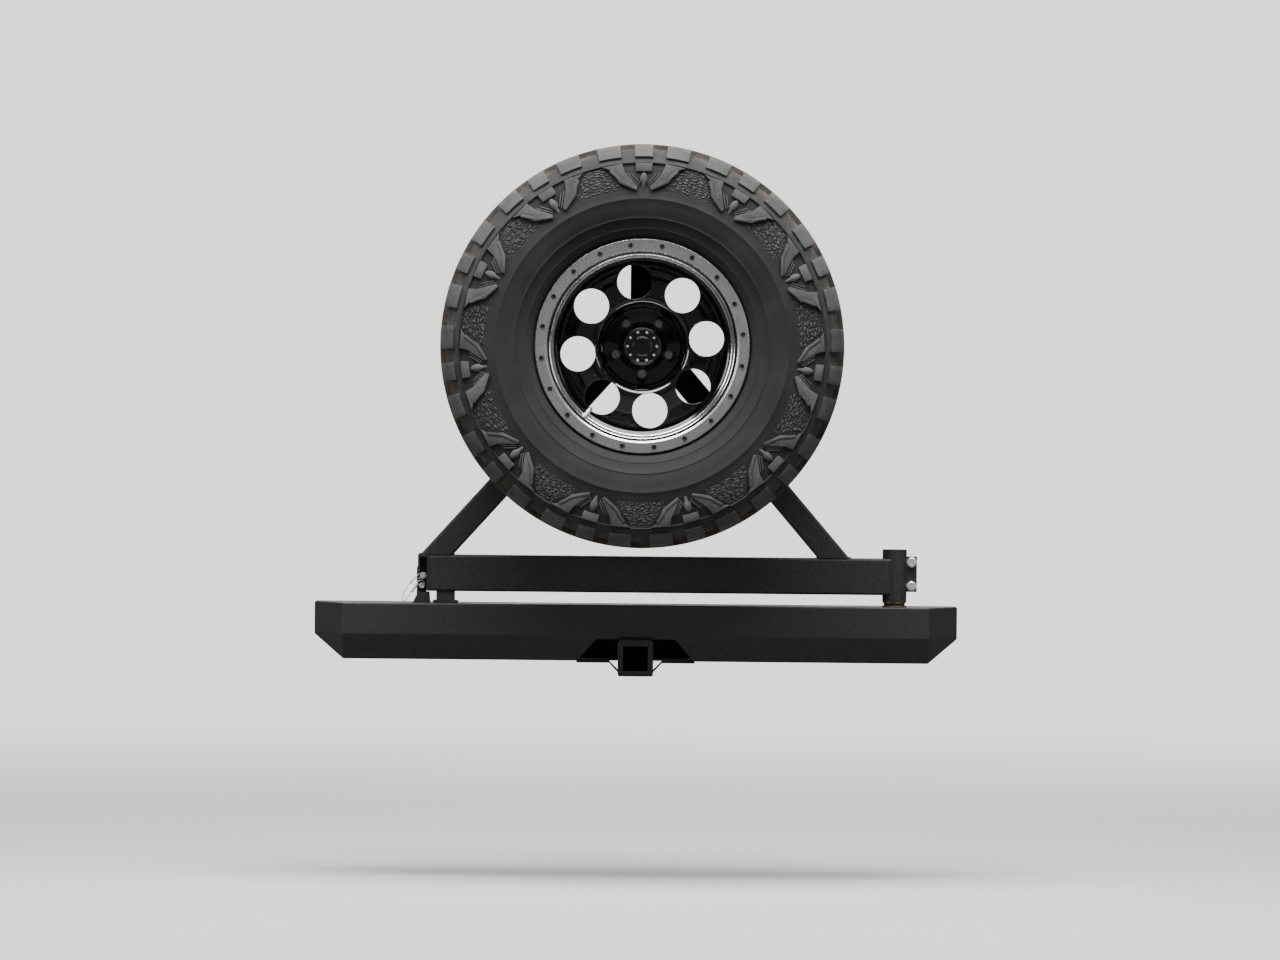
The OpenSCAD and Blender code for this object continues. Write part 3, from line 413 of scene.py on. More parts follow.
def lathe(f):
    """Fine rings round the wheel axis, in roughness and height."""
    local = f.moved(tuple(WHEEL))
    x, z = f.part(local, "X"), f.part(local, "Z")
    radius = f.maths("SQRT", x * x + z * z)
    return radius, f.noise(1, 3, 0.7,
        f.node("ShaderNodeCombineXYZ", {}, {0: radius * 1900, 1: f.part(local, "Y") * 400, 2: 0.0}))


def polished_lip(colours):
    f = Finish("machined_lip")
    lines = lathe(f)[1]
    stain = f.rise(f.noise(26, 4, 0.65), 0.5, 0.72)
    chips = f.rise(f.noise(210, 2, 0.5), 0.66, 0.71)
    colour = f.mix(stain * 0.35 + chips * 0.2, tuple(colours.polished), (0.26, 0.25, 0.235))
    rough = 0.20 + lines * 0.12 + stain * 0.16 + chips * 0.1
    return f.done(colour, rough, 0.82, f.bump(lines, 0.00003))


def two_tone_barrel(colours):
    """Polished on the outer step, gloss black from there inwards."""
    f = Finish("rim_barrel_two_tone")
    radius, lines = lathe(f)
    local = f.moved((0, RING_HIGH.y, 0))
    outer = f.rise(radius, 0.1815, 0.1822) * f.rise(f.part(local, "Y"), 0.052, 0.056, 1.0, 0.0)
    stain = f.rise(f.noise(30, 4, 0.65), 0.52, 0.74)
    bright = f.mix(stain * 0.5, tuple(c * 1.45 for c in colours.polished), (0.24, 0.21, 0.18))
    # Painted shade: a dark ring on the step just inside the lip ring, where the ring's inner edge shades the recess.
    groove_shade = f.band(radius, 0.1900, 0.1949, 0.0003)
    stepped = f.mix(groove_shade * 0.9, bright, (0.030, 0.029, 0.028))
    colour = f.mix(outer, tuple(colours.gloss), stepped)
    rough = 0.12 + outer * (lines * 0.10 + stain * 0.15)
    return f.done(colour, rough, outer, f.bump(lines * outer, 0.00002))


def weld_metal(colours):
    f = Finish("coated_weld")
    grain = f.noise(700, 2, 0.5)
    colour = f.mix(f.rise(grain, 0.4, 0.65), tuple(colours.coat), (0.040, 0.040, 0.041))
    return f.done(colour, 0.48, 0.0, f.bump(grain, 0.00025))


def valve_metal(colours):
    f = Finish("bright_valve")
    colour = f.mix(f.rise(f.noise(200, 3, 0.6), 0.45, 0.7), (0.80, 0.80, 0.79), (0.55, 0.54, 0.52))
    return f.done(colour, 0.22 + f.noise(600, 2, 0.5) * 0.15, 1.0)


MAKERS = {
    "powder_coat": powder_coat,
    "zinc_plate": zinc_plate,
    "steel_cable": steel_cable,
    "bare_steel": ground_steel,
    "bronze": bronze,
    "rest_rubber": moulded_rubber,
    "black_plastic": black_plastic,
    "black_fasteners": black_oxide,
    "dark_chrome": dark_chrome,
    "tire_rubber": tire_rubber,
    "raised_rubber_painted_lit": raised_rubber_painted_lit,
    "wheel_black": gloss_black,
    "machined_aluminium": polished_lip,
    "rim_two_tone": two_tone_barrel,
    "weld": weld_metal,
    "valve_metal": valve_metal,
}


# ---- Modelling by operators ----


def only(*objects):
    """These objects are selected, and the first is active."""
    if bpy.context.object is not None and bpy.context.object.mode != "OBJECT":
        object_mode()
    bpy.ops.object.select_all(action="DESELECT")
    for each in objects:
        each.select_set(True)
    bpy.context.view_layer.objects.active = objects[0]
    return objects[0]


def nothing():
    if bpy.context.object is not None and bpy.context.object.mode != "OBJECT":
        object_mode()
    bpy.ops.object.select_all(action="DESELECT")


def settled(obj, name=None):
    """The object at the origin, unturned and unscaled, with its place in its mesh."""
    only(obj)
    bpy.ops.object.transform_apply(location=True, rotation=True, scale=True)
    if name:
        obj.name = name
        obj.data.name = name
    return obj


def pick(obj, kind, test):
    """Edit mode, with only the faces, edges or vertices that pass the test selected."""
    only(obj)
    bpy.ops.object.mode_set(mode="EDIT")
    bpy.ops.mesh.select_mode(type={"faces": "FACE", "edges": "EDGE", "vertices": "VERT"}[kind])
    bpy.ops.mesh.select_all(action="DESELECT")
    object_mode()
    mesh = obj.data
    group = {"faces": mesh.polygons, "edges": mesh.edges, "vertices": mesh.vertices}[kind]
    found = 0
    for item in group:
        chosen = bool(test(item))
        item.select = chosen
        found += chosen
    if not found:
        raise RuntimeError(f"{obj.name}: no {kind} to select")
    bpy.ops.object.mode_set(mode="EDIT")
    return found


def ends_of(obj, edge):
    return [obj.data.vertices[i].co for i in edge.vertices]


def drawn(points, closed=False, fill=False):
    """A chain of edges through the points, drawn by extruding one vertex; left in edit mode, all selected."""
    nothing()
    bpy.ops.mesh.primitive_plane_add(size=0.001, location=(0, 0, 0))
    obj = bpy.context.object
    bpy.ops.object.mode_set(mode="EDIT")
    bpy.ops.mesh.select_mode(type="VERT")
    bpy.ops.mesh.merge(type="CENTER")
    bpy.ops.transform.translate(value=points[0])
    here = Vector(points[0])
    for point in list(points[1:]) + ([points[0]] if closed else []):
        bpy.ops.mesh.extrude_region_move(TRANSFORM_OT_translate={"value": Vector(point) - here})
        here = Vector(point)
    bpy.ops.mesh.select_all(action="SELECT")
    if closed:
        bpy.ops.mesh.remove_doubles(threshold=1e-6)
    if fill:
        bpy.ops.mesh.edge_face_add()
    return obj


def cleaned(obj, doubles=1e-6):
    only(obj)
    bpy.ops.object.mode_set(mode="EDIT")
    bpy.ops.mesh.select_all(action="SELECT")
    bpy.ops.mesh.remove_doubles(threshold=doubles)
    bpy.ops.mesh.normals_make_consistent(inside=False)
    object_mode()
    return obj


def wheel_point(radius, out):
    """A point of a section through the wheel axis.

    It takes the radius and the distance rearwards of the hub face, in millimetres.
    """
    return (WHEEL.x, HUB_Y - out * MM, WHEEL.z + radius * MM)


def turned_on_wheel(section, steps, name, angle=360.0):
    """A closed section spun round the wheel axis."""
    obj = drawn([wheel_point(r, a) for r, a in section], closed=True)
    bpy.ops.mesh.spin(steps=steps, angle=radians(angle), center=tuple(WHEEL), axis=(0, 1, 0))
    cleaned(obj)
    return settled(obj, name)


def bevelled(obj, width, segments=2, angle=30.0, clamp=True):
    only(obj)
    bevel = obj.modifiers.new("rounded edges", "BEVEL")
    bevel.width = width
    bevel.segments = segments
    bevel.limit_method = "ANGLE"
    bevel.angle_limit = radians(angle)
    bevel.use_clamp_overlap = clamp
    bevel.miter_outer = "MITER_ARC" if segments > 2 else "MITER_SHARP"
    bpy.ops.object.modifier_apply(modifier=bevel.name)
    return obj


def smooth(obj, angle=32.0, weighted=False):
    only(obj)
    bpy.ops.object.shade_smooth_by_angle(angle=radians(angle))
    if weighted:
        even = obj.modifiers.new("even shading", "WEIGHTED_NORMAL")
        even.keep_sharp = True
        bpy.ops.object.modifier_apply(modifier=even.name)
    return obj


def painted(obj, *names):
    obj.data.materials.clear()
    for name in names:
        obj.data.materials.append(finish_named(name))
    return obj


def joined(objects, name):
    only(*objects)
    if len(objects) > 1:
        bpy.ops.object.join()
    obj = bpy.context.object
    return settled(obj, name)


def copied(obj, matrix):
    """A copy with its own mesh, moved by a matrix."""
    twin = obj.copy()
    twin.data = obj.data.copy()
    bpy.context.collection.objects.link(twin)
    twin.data.transform(matrix)
    if matrix.determinant() < 0:
        twin.data.flip_normals()
    return twin


def about(centre, axis, angle):
    return Matrix.Translation(centre) @ Matrix.Rotation(radians(angle), 4,
        axis) @ Matrix.Translation(-Vector(centre))


def mirrored_at(place, axis):
    index = "XYZ".index(axis)
    scale = Matrix.Diagonal([-1 if i == index else 1 for i in range(3)] + [1])
    offset = Vector([2 * place if i == index else 0 for i in range(3)])
    return Matrix.Translation(offset) @ scale


def from_node(node, width, name=None, segments=2, angle=30.0, doubles=1e-6, smoothing=32.0, weighted=True,
        clamp=True):
    """A copy of a CAD solid, merged, with its flat faces joined and its edges rounded."""
    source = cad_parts[node]
    obj = source.copy()
    obj.data = source.data.copy()
    obj.parent = None
    bpy.context.collection.objects.link(obj)
    for key in list(obj.keys()):
        del obj[key]
    obj.hide_render = obj.hide_viewport = False
    only(obj)
    bpy.ops.object.mode_set(mode="EDIT")
    bpy.ops.mesh.select_all(action="SELECT")
    bpy.ops.mesh.remove_doubles(threshold=doubles)
    bpy.ops.mesh.dissolve_limited(angle_limit=radians(0.4), delimit={"NORMAL"})
    object_mode()
    settled(obj, name or f"{node}_finished")
    if width:
        bevelled(obj, width * MM, segments, angle, clamp)
    return smooth(obj, smoothing, weighted)


def handed_over(obj, body, nodes):
    """The piece rides on its body and stands for its CAD solids."""
    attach(obj, body)
    if nodes:
        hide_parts(*nodes)
    return obj


def finished_node(node, body, slot, width, finish=None, **how):
    obj = painted(from_node(node, width, **how), finish or slot)
    return handed_over(obj, body, [node])


def rippled(obj, ring_index, radius):
    """Every second ring of a bead is drawn in, which leaves the ripples of the pool."""
    pick(obj, "vertices", lambda v: ring_index(v) % 2 == 0)
    bpy.ops.transform.shrink_fatten(value=-0.22 * radius)
    object_mode()


def bead(start, end, radius, sides=8, pitch=0.0017):
    """A straight rippled weld bead between two points, in metres."""
    start, end = Vector(start), Vector(end)
    along = end - start
    rings = max(4, 2 * round(along.length / pitch / 2))
    nothing()
    bpy.ops.mesh.primitive_cylinder_add(vertices=sides, radius=radius, depth=along.length, end_fill_type="NGON")
    obj = bpy.context.object
    pick(obj, "edges", lambda e: abs(ends_of(obj, e)[0].z - ends_of(obj, e)[1].z) > along.length / 2)
    bpy.ops.mesh.subdivide(number_cuts=rings - 1)
    object_mode()
    step = along.length / rings
    rippled(obj, lambda v: round((v.co.z + along.length / 2) / step), radius)
    obj.matrix_world = Matrix.Translation((start + end) / 2) @ along.to_track_quat("Z", "Y").to_matrix().to_4x4()
    settled(obj)
    return smooth(obj, 60)


def ring_bead(centre, turn_to, big, radius, sides=6, pitch=0.002):
    """A rippled weld bead round a circle; turn_to is the circle's axis."""
    rings = 2 * round(2 * pi * big / pitch / 2)
    nothing()
    bpy.ops.mesh.primitive_torus_add(major_radius=big, minor_radius=radius, major_segments=rings,
        minor_segments=sides)
    obj = bpy.context.object
    rippled(obj, lambda v: round(atan2(v.co.y, v.co.x) / (2 * pi / rings)), radius)
    obj.matrix_world = Matrix.Translation(centre) @ Vector(turn_to).to_track_quat("Z", "Y").to_matrix().to_4x4()
    settled(obj)
    return smooth(obj, 60)


HUB_Y = RING_HIGH.y + 0.128  # the wheel's mounting face lies this far forward of the lip ring's seat


class CarrierStep(Operator):
    """One step of making the carrier."""

    bl_options = {"REGISTER", "UNDO"}

    def execute(self, context):
        self.make(context.scene)
        nothing()
        return {"FINISHED"}


# ---- Camera and lanyard ----


class CARRIER_OT_camera(CarrierStep):
    """Stand the camera straight behind the carrier, far back, on a long lens"""

    bl_idname = "carrier.camera"
    bl_label = "Camera"

    def make(self, scene):
        data = bpy.data.cameras.new("view_from_behind")
        data.lens = 184.8
        data.sensor_width = 36
        data.clip_end = 200
        camera = bpy.data.objects.new("view_from_behind", data)
        scene.collection.objects.link(camera)
        turn = Matrix.Rotation(radians(90 - 0.64), 4, "X") @ Matrix.Rotation(radians(0.55), 4, "Z")
        camera.matrix_world = Matrix.Translation((0.006, -13.83, 0.473)) @ turn
        scene.camera = camera


LANYARD_ROUTE = [
    (-468, -102.5, 103.5), (-464.5, -100.5, 107.5), (-459, -98.8, 110), (-453, -97.8, 110),
    (-448, -97.5, 109.2), (-443, -97.5, 109.6), (-439.2, -97.5, 112.8), (-438.6, -97.5, 117.5),
    (-441, -97.5, 121.3), (-445.8, -97.5, 122.8), (-450.5, -97.8, 121.3), (-455, -99, 118),
    (-459.5, -101, 114), (-464, -103, 109.5), (-468.5, -105, 105.5), (-472.5, -106, 100.5),
    (-476.5, -107, 95), (-480, -108, 88.5), (-483.5, -109, 82), (-486.5, -110, 75.5),
    (-488.5, -111, 69.5), (-487.6, -111.5, 64.9), (-484, -112, 62.8), (-480.4, -111.5, 64.8),
    (-477.5, -110.5, 69.5), (-474.5, -109, 75), (-471.5, -107.5, 80.5), (-468, -106, 86),
    (-464.5, -104.5, 91.5), (-461, -103, 97), (-457.5, -101.5, 102), (-453, -99.5, 105),
    (-448, -98, 105.2), (-443.8, -97.5, 102.6), (-441.6, -97.5, 98.2), (-442.2, -97.5, 93.2),
    (-445.4, -97.5, 90), (-450, -97.5, 90), (-453.6, -98.2, 93), (-456.6, -99.6, 97),
]


def eased(points, cuts=3):
    """More points on the smooth curve through the given ones."""
    found = []
    for i in range(len(points) - 1):
        p0, p1, p2, p3 = (points[max(0, min(len(points) - 1, i + k))] for k in (-1, 0, 1, 2))
        for k in range(cuts):
            t = k / cuts
            found.append(
                0.5 * (2 * p1 + (p2 - p0) * t + (2 * p0 - 5 * p1 + 4 * p2 - p3) * t * t
                    + (3 * p1 - p0 - 3 * p2 + p3) * t**3)
            )
    return found + [points[-1]]


def stranded(points, diameter, name, lay_length=0.009):
    """A six-strand cable along the points: a lobed section that turns as it goes."""
    star = bpy.data.curves.new(name + "_section", "CURVE")
    ring = star.splines.new("POLY")
    ring.points.add(23)
    for k, point in enumerate(ring.points):
        reach = diameter / 2 * (0.94 + 0.06 * cos(6 * 2 * pi * k / 24))
        point.co = (reach * cos(2 * pi * k / 24), reach * sin(2 * pi * k / 24), 0, 1)
    ring.use_cyclic_u = True
    section = bpy.data.objects.new(name + "_section", star)
    bpy.context.collection.objects.link(section)
    line = bpy.data.curves.new(name, "CURVE")
    line.dimensions = "3D"
    line.twist_mode = "MINIMUM"
    spline = line.splines.new("POLY")
    spline.points.add(len(points) - 1)
    gone = 0.0
    for k, place in enumerate(points):
        gone += (place - points[k - 1]).length if k else 0.0
        spline.points[k].co = (*place, 1)
        spline.points[k].tilt = 2 * pi * gone / lay_length
    line.bevel_mode = "OBJECT"
    line.bevel_object = section
    line.use_fill_caps = True
    obj = bpy.data.objects.new(name, line)
    bpy.context.collection.objects.link(obj)
    only(obj)
    bpy.ops.object.convert(target="MESH")
    obj = bpy.context.object
    bpy.data.objects.remove(section)
    cleaned(obj)
    settled(obj, name)
    return painted(smooth(obj, 70), "steel_cable")


def crimp(start, end, radius, name):
    """A pressed sleeve: a tube with two waists and rounded mouths."""
    along = end - start
    nothing()
    bpy.ops.mesh.primitive_cylinder_add(vertices=24, radius=radius, depth=along.length)
    obj = bpy.context.object
    pick(obj, "edges", lambda e: abs(ends_of(obj, e)[0].z - ends_of(obj, e)[1].z) > along.length / 2)
    bpy.ops.mesh.subdivide(number_cuts=8)
    object_mode()
    step = along.length / 9
    pick(obj, "vertices", lambda v: round((v.co.z + along.length / 2) / step) in (2, 3, 6, 7))
    bpy.ops.transform.resize(value=(0.86, 0.86, 1))
    object_mode()
    obj.matrix_world = Matrix.Translation((start + end) / 2) @ along.to_track_quat("Z", "Y").to_matrix().to_4x4()
    settled(obj, name)
    bevelled(obj, 0.0004)
    return painted(smooth(obj, 40), "zinc_plate")


class CARRIER_OT_lanyard(CarrierStep):
    """Lay the pin's cable from its eye round the pin, down, and up to its eye round the screw"""

    bl_idname = "carrier.lanyard"
    bl_label = "Lanyard"

    def make(self, scene):
        thick = scene.carrier_steel.cable
        route = [Vector(p) * MM for p in LANYARD_ROUTE]
        pin_eye = stranded(eased(route[:15]), thick, "lanyard_pin_eye")
        screw_eye = stranded(eased(route[30:]), thick, "lanyard_screw_eye")
        run = eased(route[14:31])
        cable = stranded(run, thick, "lanyard_cable")
        first = (route[0] + route[14]) / 2
        second = (route[30] + route[39]) / 2
        pin_crimp = crimp(first, first + 0.5 * (route[16] - route[14]), 0.0026, "lanyard_pin_crimp")
        screw_crimp = crimp(second, second + 0.85 * (route[26] - route[30]), 0.003, "lanyard_screw_crimp")
        handed_over(pin_eye, "latch_pin", [])
        handed_over(pin_crimp, "latch_pin", [])
        handed_over(screw_eye, "swing_gate", [])
        handed_over(screw_crimp, "swing_gate", ["lanyard_ferrules"])
        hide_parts("lanyard")
        length = sum((b - a).length for a, b in zip(run, run[1:]))
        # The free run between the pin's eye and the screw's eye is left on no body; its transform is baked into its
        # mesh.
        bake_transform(cable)


# ---- Bumper ----


class CARRIER_OT_bumper(CarrierStep):
    """Fold the bumper from plate: top, face, chin and bottom, with a swept end at each side"""

    bl_idname = "carrier.bumper"
    bl_label = "Bumper plate"

    def make(self, scene):
        steel = scene.carrier_steel
        top, low = BUMPER_HIGH.z, BUMPER_LOW.z
        face, back = BUMPER_LOW.y, BUMPER_HIGH.y
        chin = top - 0.065
        sole = face + 0.042
        side = BUMPER_HIGH.x
        section = [(-side, back, top), (-side, face, top), (-side, face, chin), (-side, sole, low),
            (-side, back, low)]
        obj = drawn(section)
        bpy.ops.mesh.extrude_region_move(TRANSFORM_OT_translate={"value": (2 * side, 0, 0)})
        object_mode()
        # Each end is drawn out and its corners are brought in to the swept end's outline
        tip_y = face + 0.100
        for hand in (-1, 1):
            pick(obj, "edges", lambda e: all(abs(p.x - hand * side) < 1e-5 for p in ends_of(obj, e)))
            bpy.ops.mesh.extrude_region_move(TRANSFORM_OT_translate={"value": (hand * (WING_END - side), 0, 0)})
            object_mode()
            for (y, z), (to_y, to_z) in {
                (face, top): (tip_y, top), (face, chin): (tip_y, chin),
                    (sole, low): (tip_y + 0.002, chin - 0.003), (back, low): (back, chin - 0.003),
            }.items():
                pick(obj, "vertices", lambda v: hypot(v.co.y - y, v.co.z - z) < 1e-5
                    and v.co.x * hand > side + 0.01)
                bpy.ops.transform.translate(value=(0, to_y - y, to_z - z))
                object_mode()
            pick(obj, "edges", lambda e: all(p.x * hand > side + 0.01 for p in ends_of(obj, e)))
            bpy.ops.mesh.edge_face_add()
            object_mode()
        # The notch round the receiver, and the slot for its tube
        notch_half, notch_top, notch_deep = 0.082, -0.012, 0.065
        slant_x, slant_z = 0.047, 0.040
        tube_half = 0.0321
        slant = Vector((slant_x, 0, slant_z)).normalized()
        cuts = [((hand * notch_half, 0, notch_top), (hand * slant.x, 0, slant.z)) for hand in (-1, 1)]
        cuts += [((0, 0, notch_top), (0, 0, 1)), ((0, face + notch_deep, 0), (0, 1, 0))]
        cuts += [((tube_half, 0, 0), (1, 0, 0)), ((-tube_half, 0, 0), (1, 0, 0))]
        for place, normal in cuts:
            pick(obj, "faces", lambda f: f.center.z < chin + 1e-6 and abs(f.center.x) < 0.5
                and f.normal.z ** 2 + f.normal.y ** 2 > 0.5)
            bpy.ops.mesh.bisect(plane_co=place, plane_no=normal)
            object_mode()

        def in_notch(face_):
            c = face_.center
            reach = notch_half + (notch_top - c.z) * slant_z / slant_x
            inside = abs(c.x) < reach and c.z < notch_top and c.y < face + notch_deep
            return inside or (abs(c.x) < tube_half and c.z < low + 1e-5)

        pick(obj, "faces", in_notch)
        bpy.ops.mesh.delete(type="FACE")
        cleaned(obj)
        # Folds get their radius before the sheet gets its thickness
        faces_of = {}
        for polygon in obj.data.polygons:
            for key in polygon.edge_keys:
                faces_of.setdefault(key, []).append(polygon.normal.copy())
        pick(obj, "edges", lambda e: len(faces_of.get(tuple(sorted(e.vertices)), [])) == 2
            and faces_of[tuple(sorted(e.vertices))][0].angle(faces_of[tuple(sorted(e.vertices))][1]) > 0.15)
        bpy.ops.mesh.bevel(offset=steel.fold_radius, offset_type="WIDTH", segments=5, clamp_overlap=True)
        object_mode()
        cleaned(obj, 1e-5)
        if sum(p.normal.y * p.area for p in obj.data.polygons if abs(p.center.x) < 0.5
                and p.center.y < face + 1e-4) > 0:
            obj.data.flip_normals()
        thick = obj.modifiers.new("plate", "SOLIDIFY")
        thick.thickness = steel.plate
        thick.offset = -1
        thick.use_even_offset = True
        bpy.ops.object.modifier_apply(modifier=thick.name)
        settled(obj, "bumper_plate")
        bevelled(obj, 0.0009, 2, 50)
        smooth(obj, 40, weighted=True)
        painted(obj, "powder_coat")
        plates = ["bumper_shell", "left_chin", "right_chin", "bumper_floor", "left_wing", "right_wing"]
        handed_over(obj, "bumper", plates)

        for node in ("left_frame_bracket", "right_frame_bracket"):
            finished_node(node, "bumper", "powder_coat", 0.8)


# ---- Receiver ----


class CARRIER_OT_receiver(CarrierStep):
    """Finish the receiver tube, its collar, the strap below it and the plate behind it, with their welds"""

    bl_idname = "carrier.receiver"
    bl_label = "Receiver"

    def make(self, scene):
        finished_node("receiver_tube", "bumper", "powder_coat", 0.9, doubles=2e-5)
        finished_node("receiver_collar", "bumper", "powder_coat", 1.3, segments=3)
        finished_node("receiver_strap", "bumper", "powder_coat", 1.0)
        finished_node("receiver_back_plate", "bumper", "powder_coat", 0.6)
        low, high = (Vector(c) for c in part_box("receiver_collar"))
        tube_low, tube_high = (Vector(c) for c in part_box("receiver_tube"))
        face = BUMPER_LOW.y
        r = scene.carrier_steel.bead_radius
        beads = []
        corners = [(low.x + 0.004, high.z), (high.x - 0.004, high.z)]
        beads.append(bead((corners[0][0], face - 0.001, corners[0][1]),
            (corners[1][0], face - 0.001, corners[1][1]), r))
        for x in (tube_low.x, tube_high.x):
            beads.append(bead((x, high.y, tube_low.z + 0.006), (x, high.y, tube_high.z - 0.006), r * 0.8))
            beads.append(bead((x, low.y + 0.020, tube_low.z), (x, tube_high.y - 0.07, tube_low.z), r * 0.8))
        beads.append(bead((tube_low.x + 0.006, high.y, tube_low.z), (tube_high.x - 0.006, high.y, tube_low.z),
            r * 0.8))
        handed_over(painted(joined(beads, "receiver_welds"), "weld"), "bumper", [])


# ---- Hinge ----


class CARRIER_OT_hinge(CarrierStep):
    """Finish the fixed spindle and its boss, and the housing with its clamp that turns on it"""

    bl_idname = "carrier.hinge"
    bl_label = "Hinge"

    def make(self, scene):
        finished_node("spindle_doubler", "bumper", "powder_coat", 0.8)
        finished_node("spindle_boss", "bumper", "powder_coat", 1.2, segments=3)
        finished_node("hinge_spindle", "bumper", "bare_steel", 0.5)
        finished_node("thrust_washer", "bumper", "bronze", 0.3)
        finished_node("spindle_washer", "bumper", "zinc_plate", 0.3)
        finished_node("spindle_nut", "bumper", "zinc_plate", 0.5)
        finished_node("spindle_cotter", "bumper", "zinc_plate", 0.3)
        finished_node("hinge_housing", "swing_gate", "powder_coat", 1.2, segments=3, doubles=1e-5)
        finished_node("lower_bush", "swing_gate", "bronze", 0.3)
        finished_node("upper_bush", "swing_gate", "bronze", 0.3)
        finished_node("hinge_cap", "swing_gate", "black_plastic", 1.0, finish="powder_coat", segments=3)
        finished_node("grease_nipple", "swing_gate", "zinc_plate", 0.3)
        finished_node("clamp_bolts", "swing_gate", "zinc_plate", 0.6)
        finished_node("clamp_nuts", "swing_gate", "zinc_plate", 0.5)
        top = BUMPER_HIGH.z
        boss_low, boss_high = (Vector(c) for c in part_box("spindle_boss"))
        r = scene.carrier_steel.bead_radius
        foot = ring_bead((HINGE.x, HINGE.y, top + 0.0006), (0, 0, 1), (boss_high.x - boss_low.x) / 2 + 0.001, r)
        handed_over(painted(joined([foot], "boss_weld"), "weld"), "bumper", [])


# ---- Gate ----


class CARRIER_OT_gate(CarrierStep):
    """Finish the gate's beam, braces and mast, with the welds that join them"""

    bl_idname = "carrier.gate"
    bl_label = "Gate frame"

    def make(self, scene):
        for node in ("gate_beam", "left_brace", "right_brace", "mast"):
            finished_node(node, "swing_gate", "powder_coat", 0)
        finished_node("beam_end_plate", "swing_gate", "powder_coat", 1.0)
        finished_node("mast_cap", "swing_gate", "black_plastic", 0.9)
        finished_node("mast_foot", "swing_gate", "powder_coat", 1.0)
        beam_low, beam_high = (Vector(c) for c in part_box("gate_beam"))
        mast_low, mast_high = (Vector(c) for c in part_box("mast"))
        r = scene.carrier_steel.bead_radius
        beads = []
        rear, front = beam_low.y + 0.005, beam_high.y - 0.005
        for node, hand in (("left_brace", -1), ("right_brace", 1)):
            low, high = (Vector(c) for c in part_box(node))
            foot = low.x if hand < 0 else high.x
            run = abs((mast_low.x if hand < 0 else mast_high.x) - foot)
            lean = atan2(run - 0.035, high.z - beam_high.z - 0.035)
            wide = 0.0508 / cos(lean)
            for x in (foot, foot - hand * wide):
                beads.append(bead((x, rear, beam_high.z), (x, front, beam_high.z), r))
            tall = 0.0508 / sin(lean)
            head = mast_low.x if hand < 0 else mast_high.x
            for z in (high.z, high.z - tall):
                beads.append(bead((head, rear, z), (head, front, z), r))
        handed_over(painted(joined(beads, "gate_welds"), "weld"), "swing_gate", [])


class CARRIER_OT_wheel_mount(CarrierStep):
    """Finish the flanges, the stand-off tube and the stud plate that carry the wheel"""

    bl_idname = "carrier.wheel_mount"
    bl_label = "Wheel mount"

    def make(self, scene):
        for node, width in (("mast_flange", 1.0), ("standoff_flange", 1.0), ("standoff_tube", 0.4),
                ("stud_plate", 1.0)):
            finished_node(node, "swing_gate", "powder_coat", width)
        finished_node("flange_bolts", "swing_gate", "zinc_plate", 0.5)
        finished_node("wheel_studs", "swing_gate", "zinc_plate", 0.4)
        tube_low, tube_high = (Vector(c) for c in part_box("standoff_tube"))
        big = (tube_high.x - tube_low.x) / 2 + 0.001
        r = scene.carrier_steel.bead_radius * 1.2
        beads = [
            ring_bead((WHEEL.x, tube_high.y - 0.001, WHEEL.z), (0, 1, 0), big, r),
            ring_bead((WHEEL.x, tube_low.y + 0.001, WHEEL.z), (0, 1, 0), big, r),
        ]
        handed_over(painted(joined(beads, "standoff_welds"), "weld"), "swing_gate", [])


# ---- Latch and rest ----


class CARRIER_OT_latch(CarrierStep):
    """Finish the latch channel, the fixed bracket, the ball-lock pin with its button, and the lanyard's screw"""

    bl_idname = "carrier.latch"
    bl_label = "Latch"

    def make(self, scene):
        finished_node("latch_bracket", "bumper", "powder_coat", 0.9)
        finished_node("latch_channel", "swing_gate", "powder_coat", 0.8)
        finished_node("lanyard_screw", "swing_gate", "zinc_plate", 0.4)
        finished_node("latch_pin", "latch_pin", "zinc_plate", 0.3)
        finished_node("pin_button", "lock_button", "zinc_plate", 0.4)
        finished_node("pin_handle", "latch_pin", "zinc_plate", 0.7, segments=3)


class CARRIER_OT_gate_rest(CarrierStep):
    """Finish the bracket, rubber pad and screws on which the closed gate rests"""

    bl_idname = "carrier.gate_rest"
    bl_label = "Gate rest"

    def make(self, scene):
        finished_node("rest_bracket", "bumper", "powder_coat", 0.8)
        finished_node("rest_pad", "bumper", "rest_rubber", 1.6, segments=3)
        finished_node("rest_screws", "bumper", "zinc_plate", 0.4)


# ---- Tire ----


def crown_line(sizes, width):
    """The tire's outline at a distance from its middle plane.

    It gives the outline's radius in metres and its outward direction.
    """

    def reach(w):
        level = min(1.0, (w / sizes.half_width) ** 2)
        return sizes.widest_radius + (sizes.outer_radius - sizes.widest_radius) * (1 - level * level) ** 0.25

    if width < 1e-6:
        return reach(0), Vector((1, 0))
    tiny = 1e-5
    slope = Vector((reach(width + tiny / 2) - reach(width - tiny / 2), tiny))
    return reach(width), Vector((slope.y, -slope.x)).normalized()


def width_at(sizes, radius):
    level = ((radius - sizes.widest_radius) / (sizes.outer_radius - sizes.widest_radius)) ** 4
    return sizes.half_width * (1 - level) ** 0.25


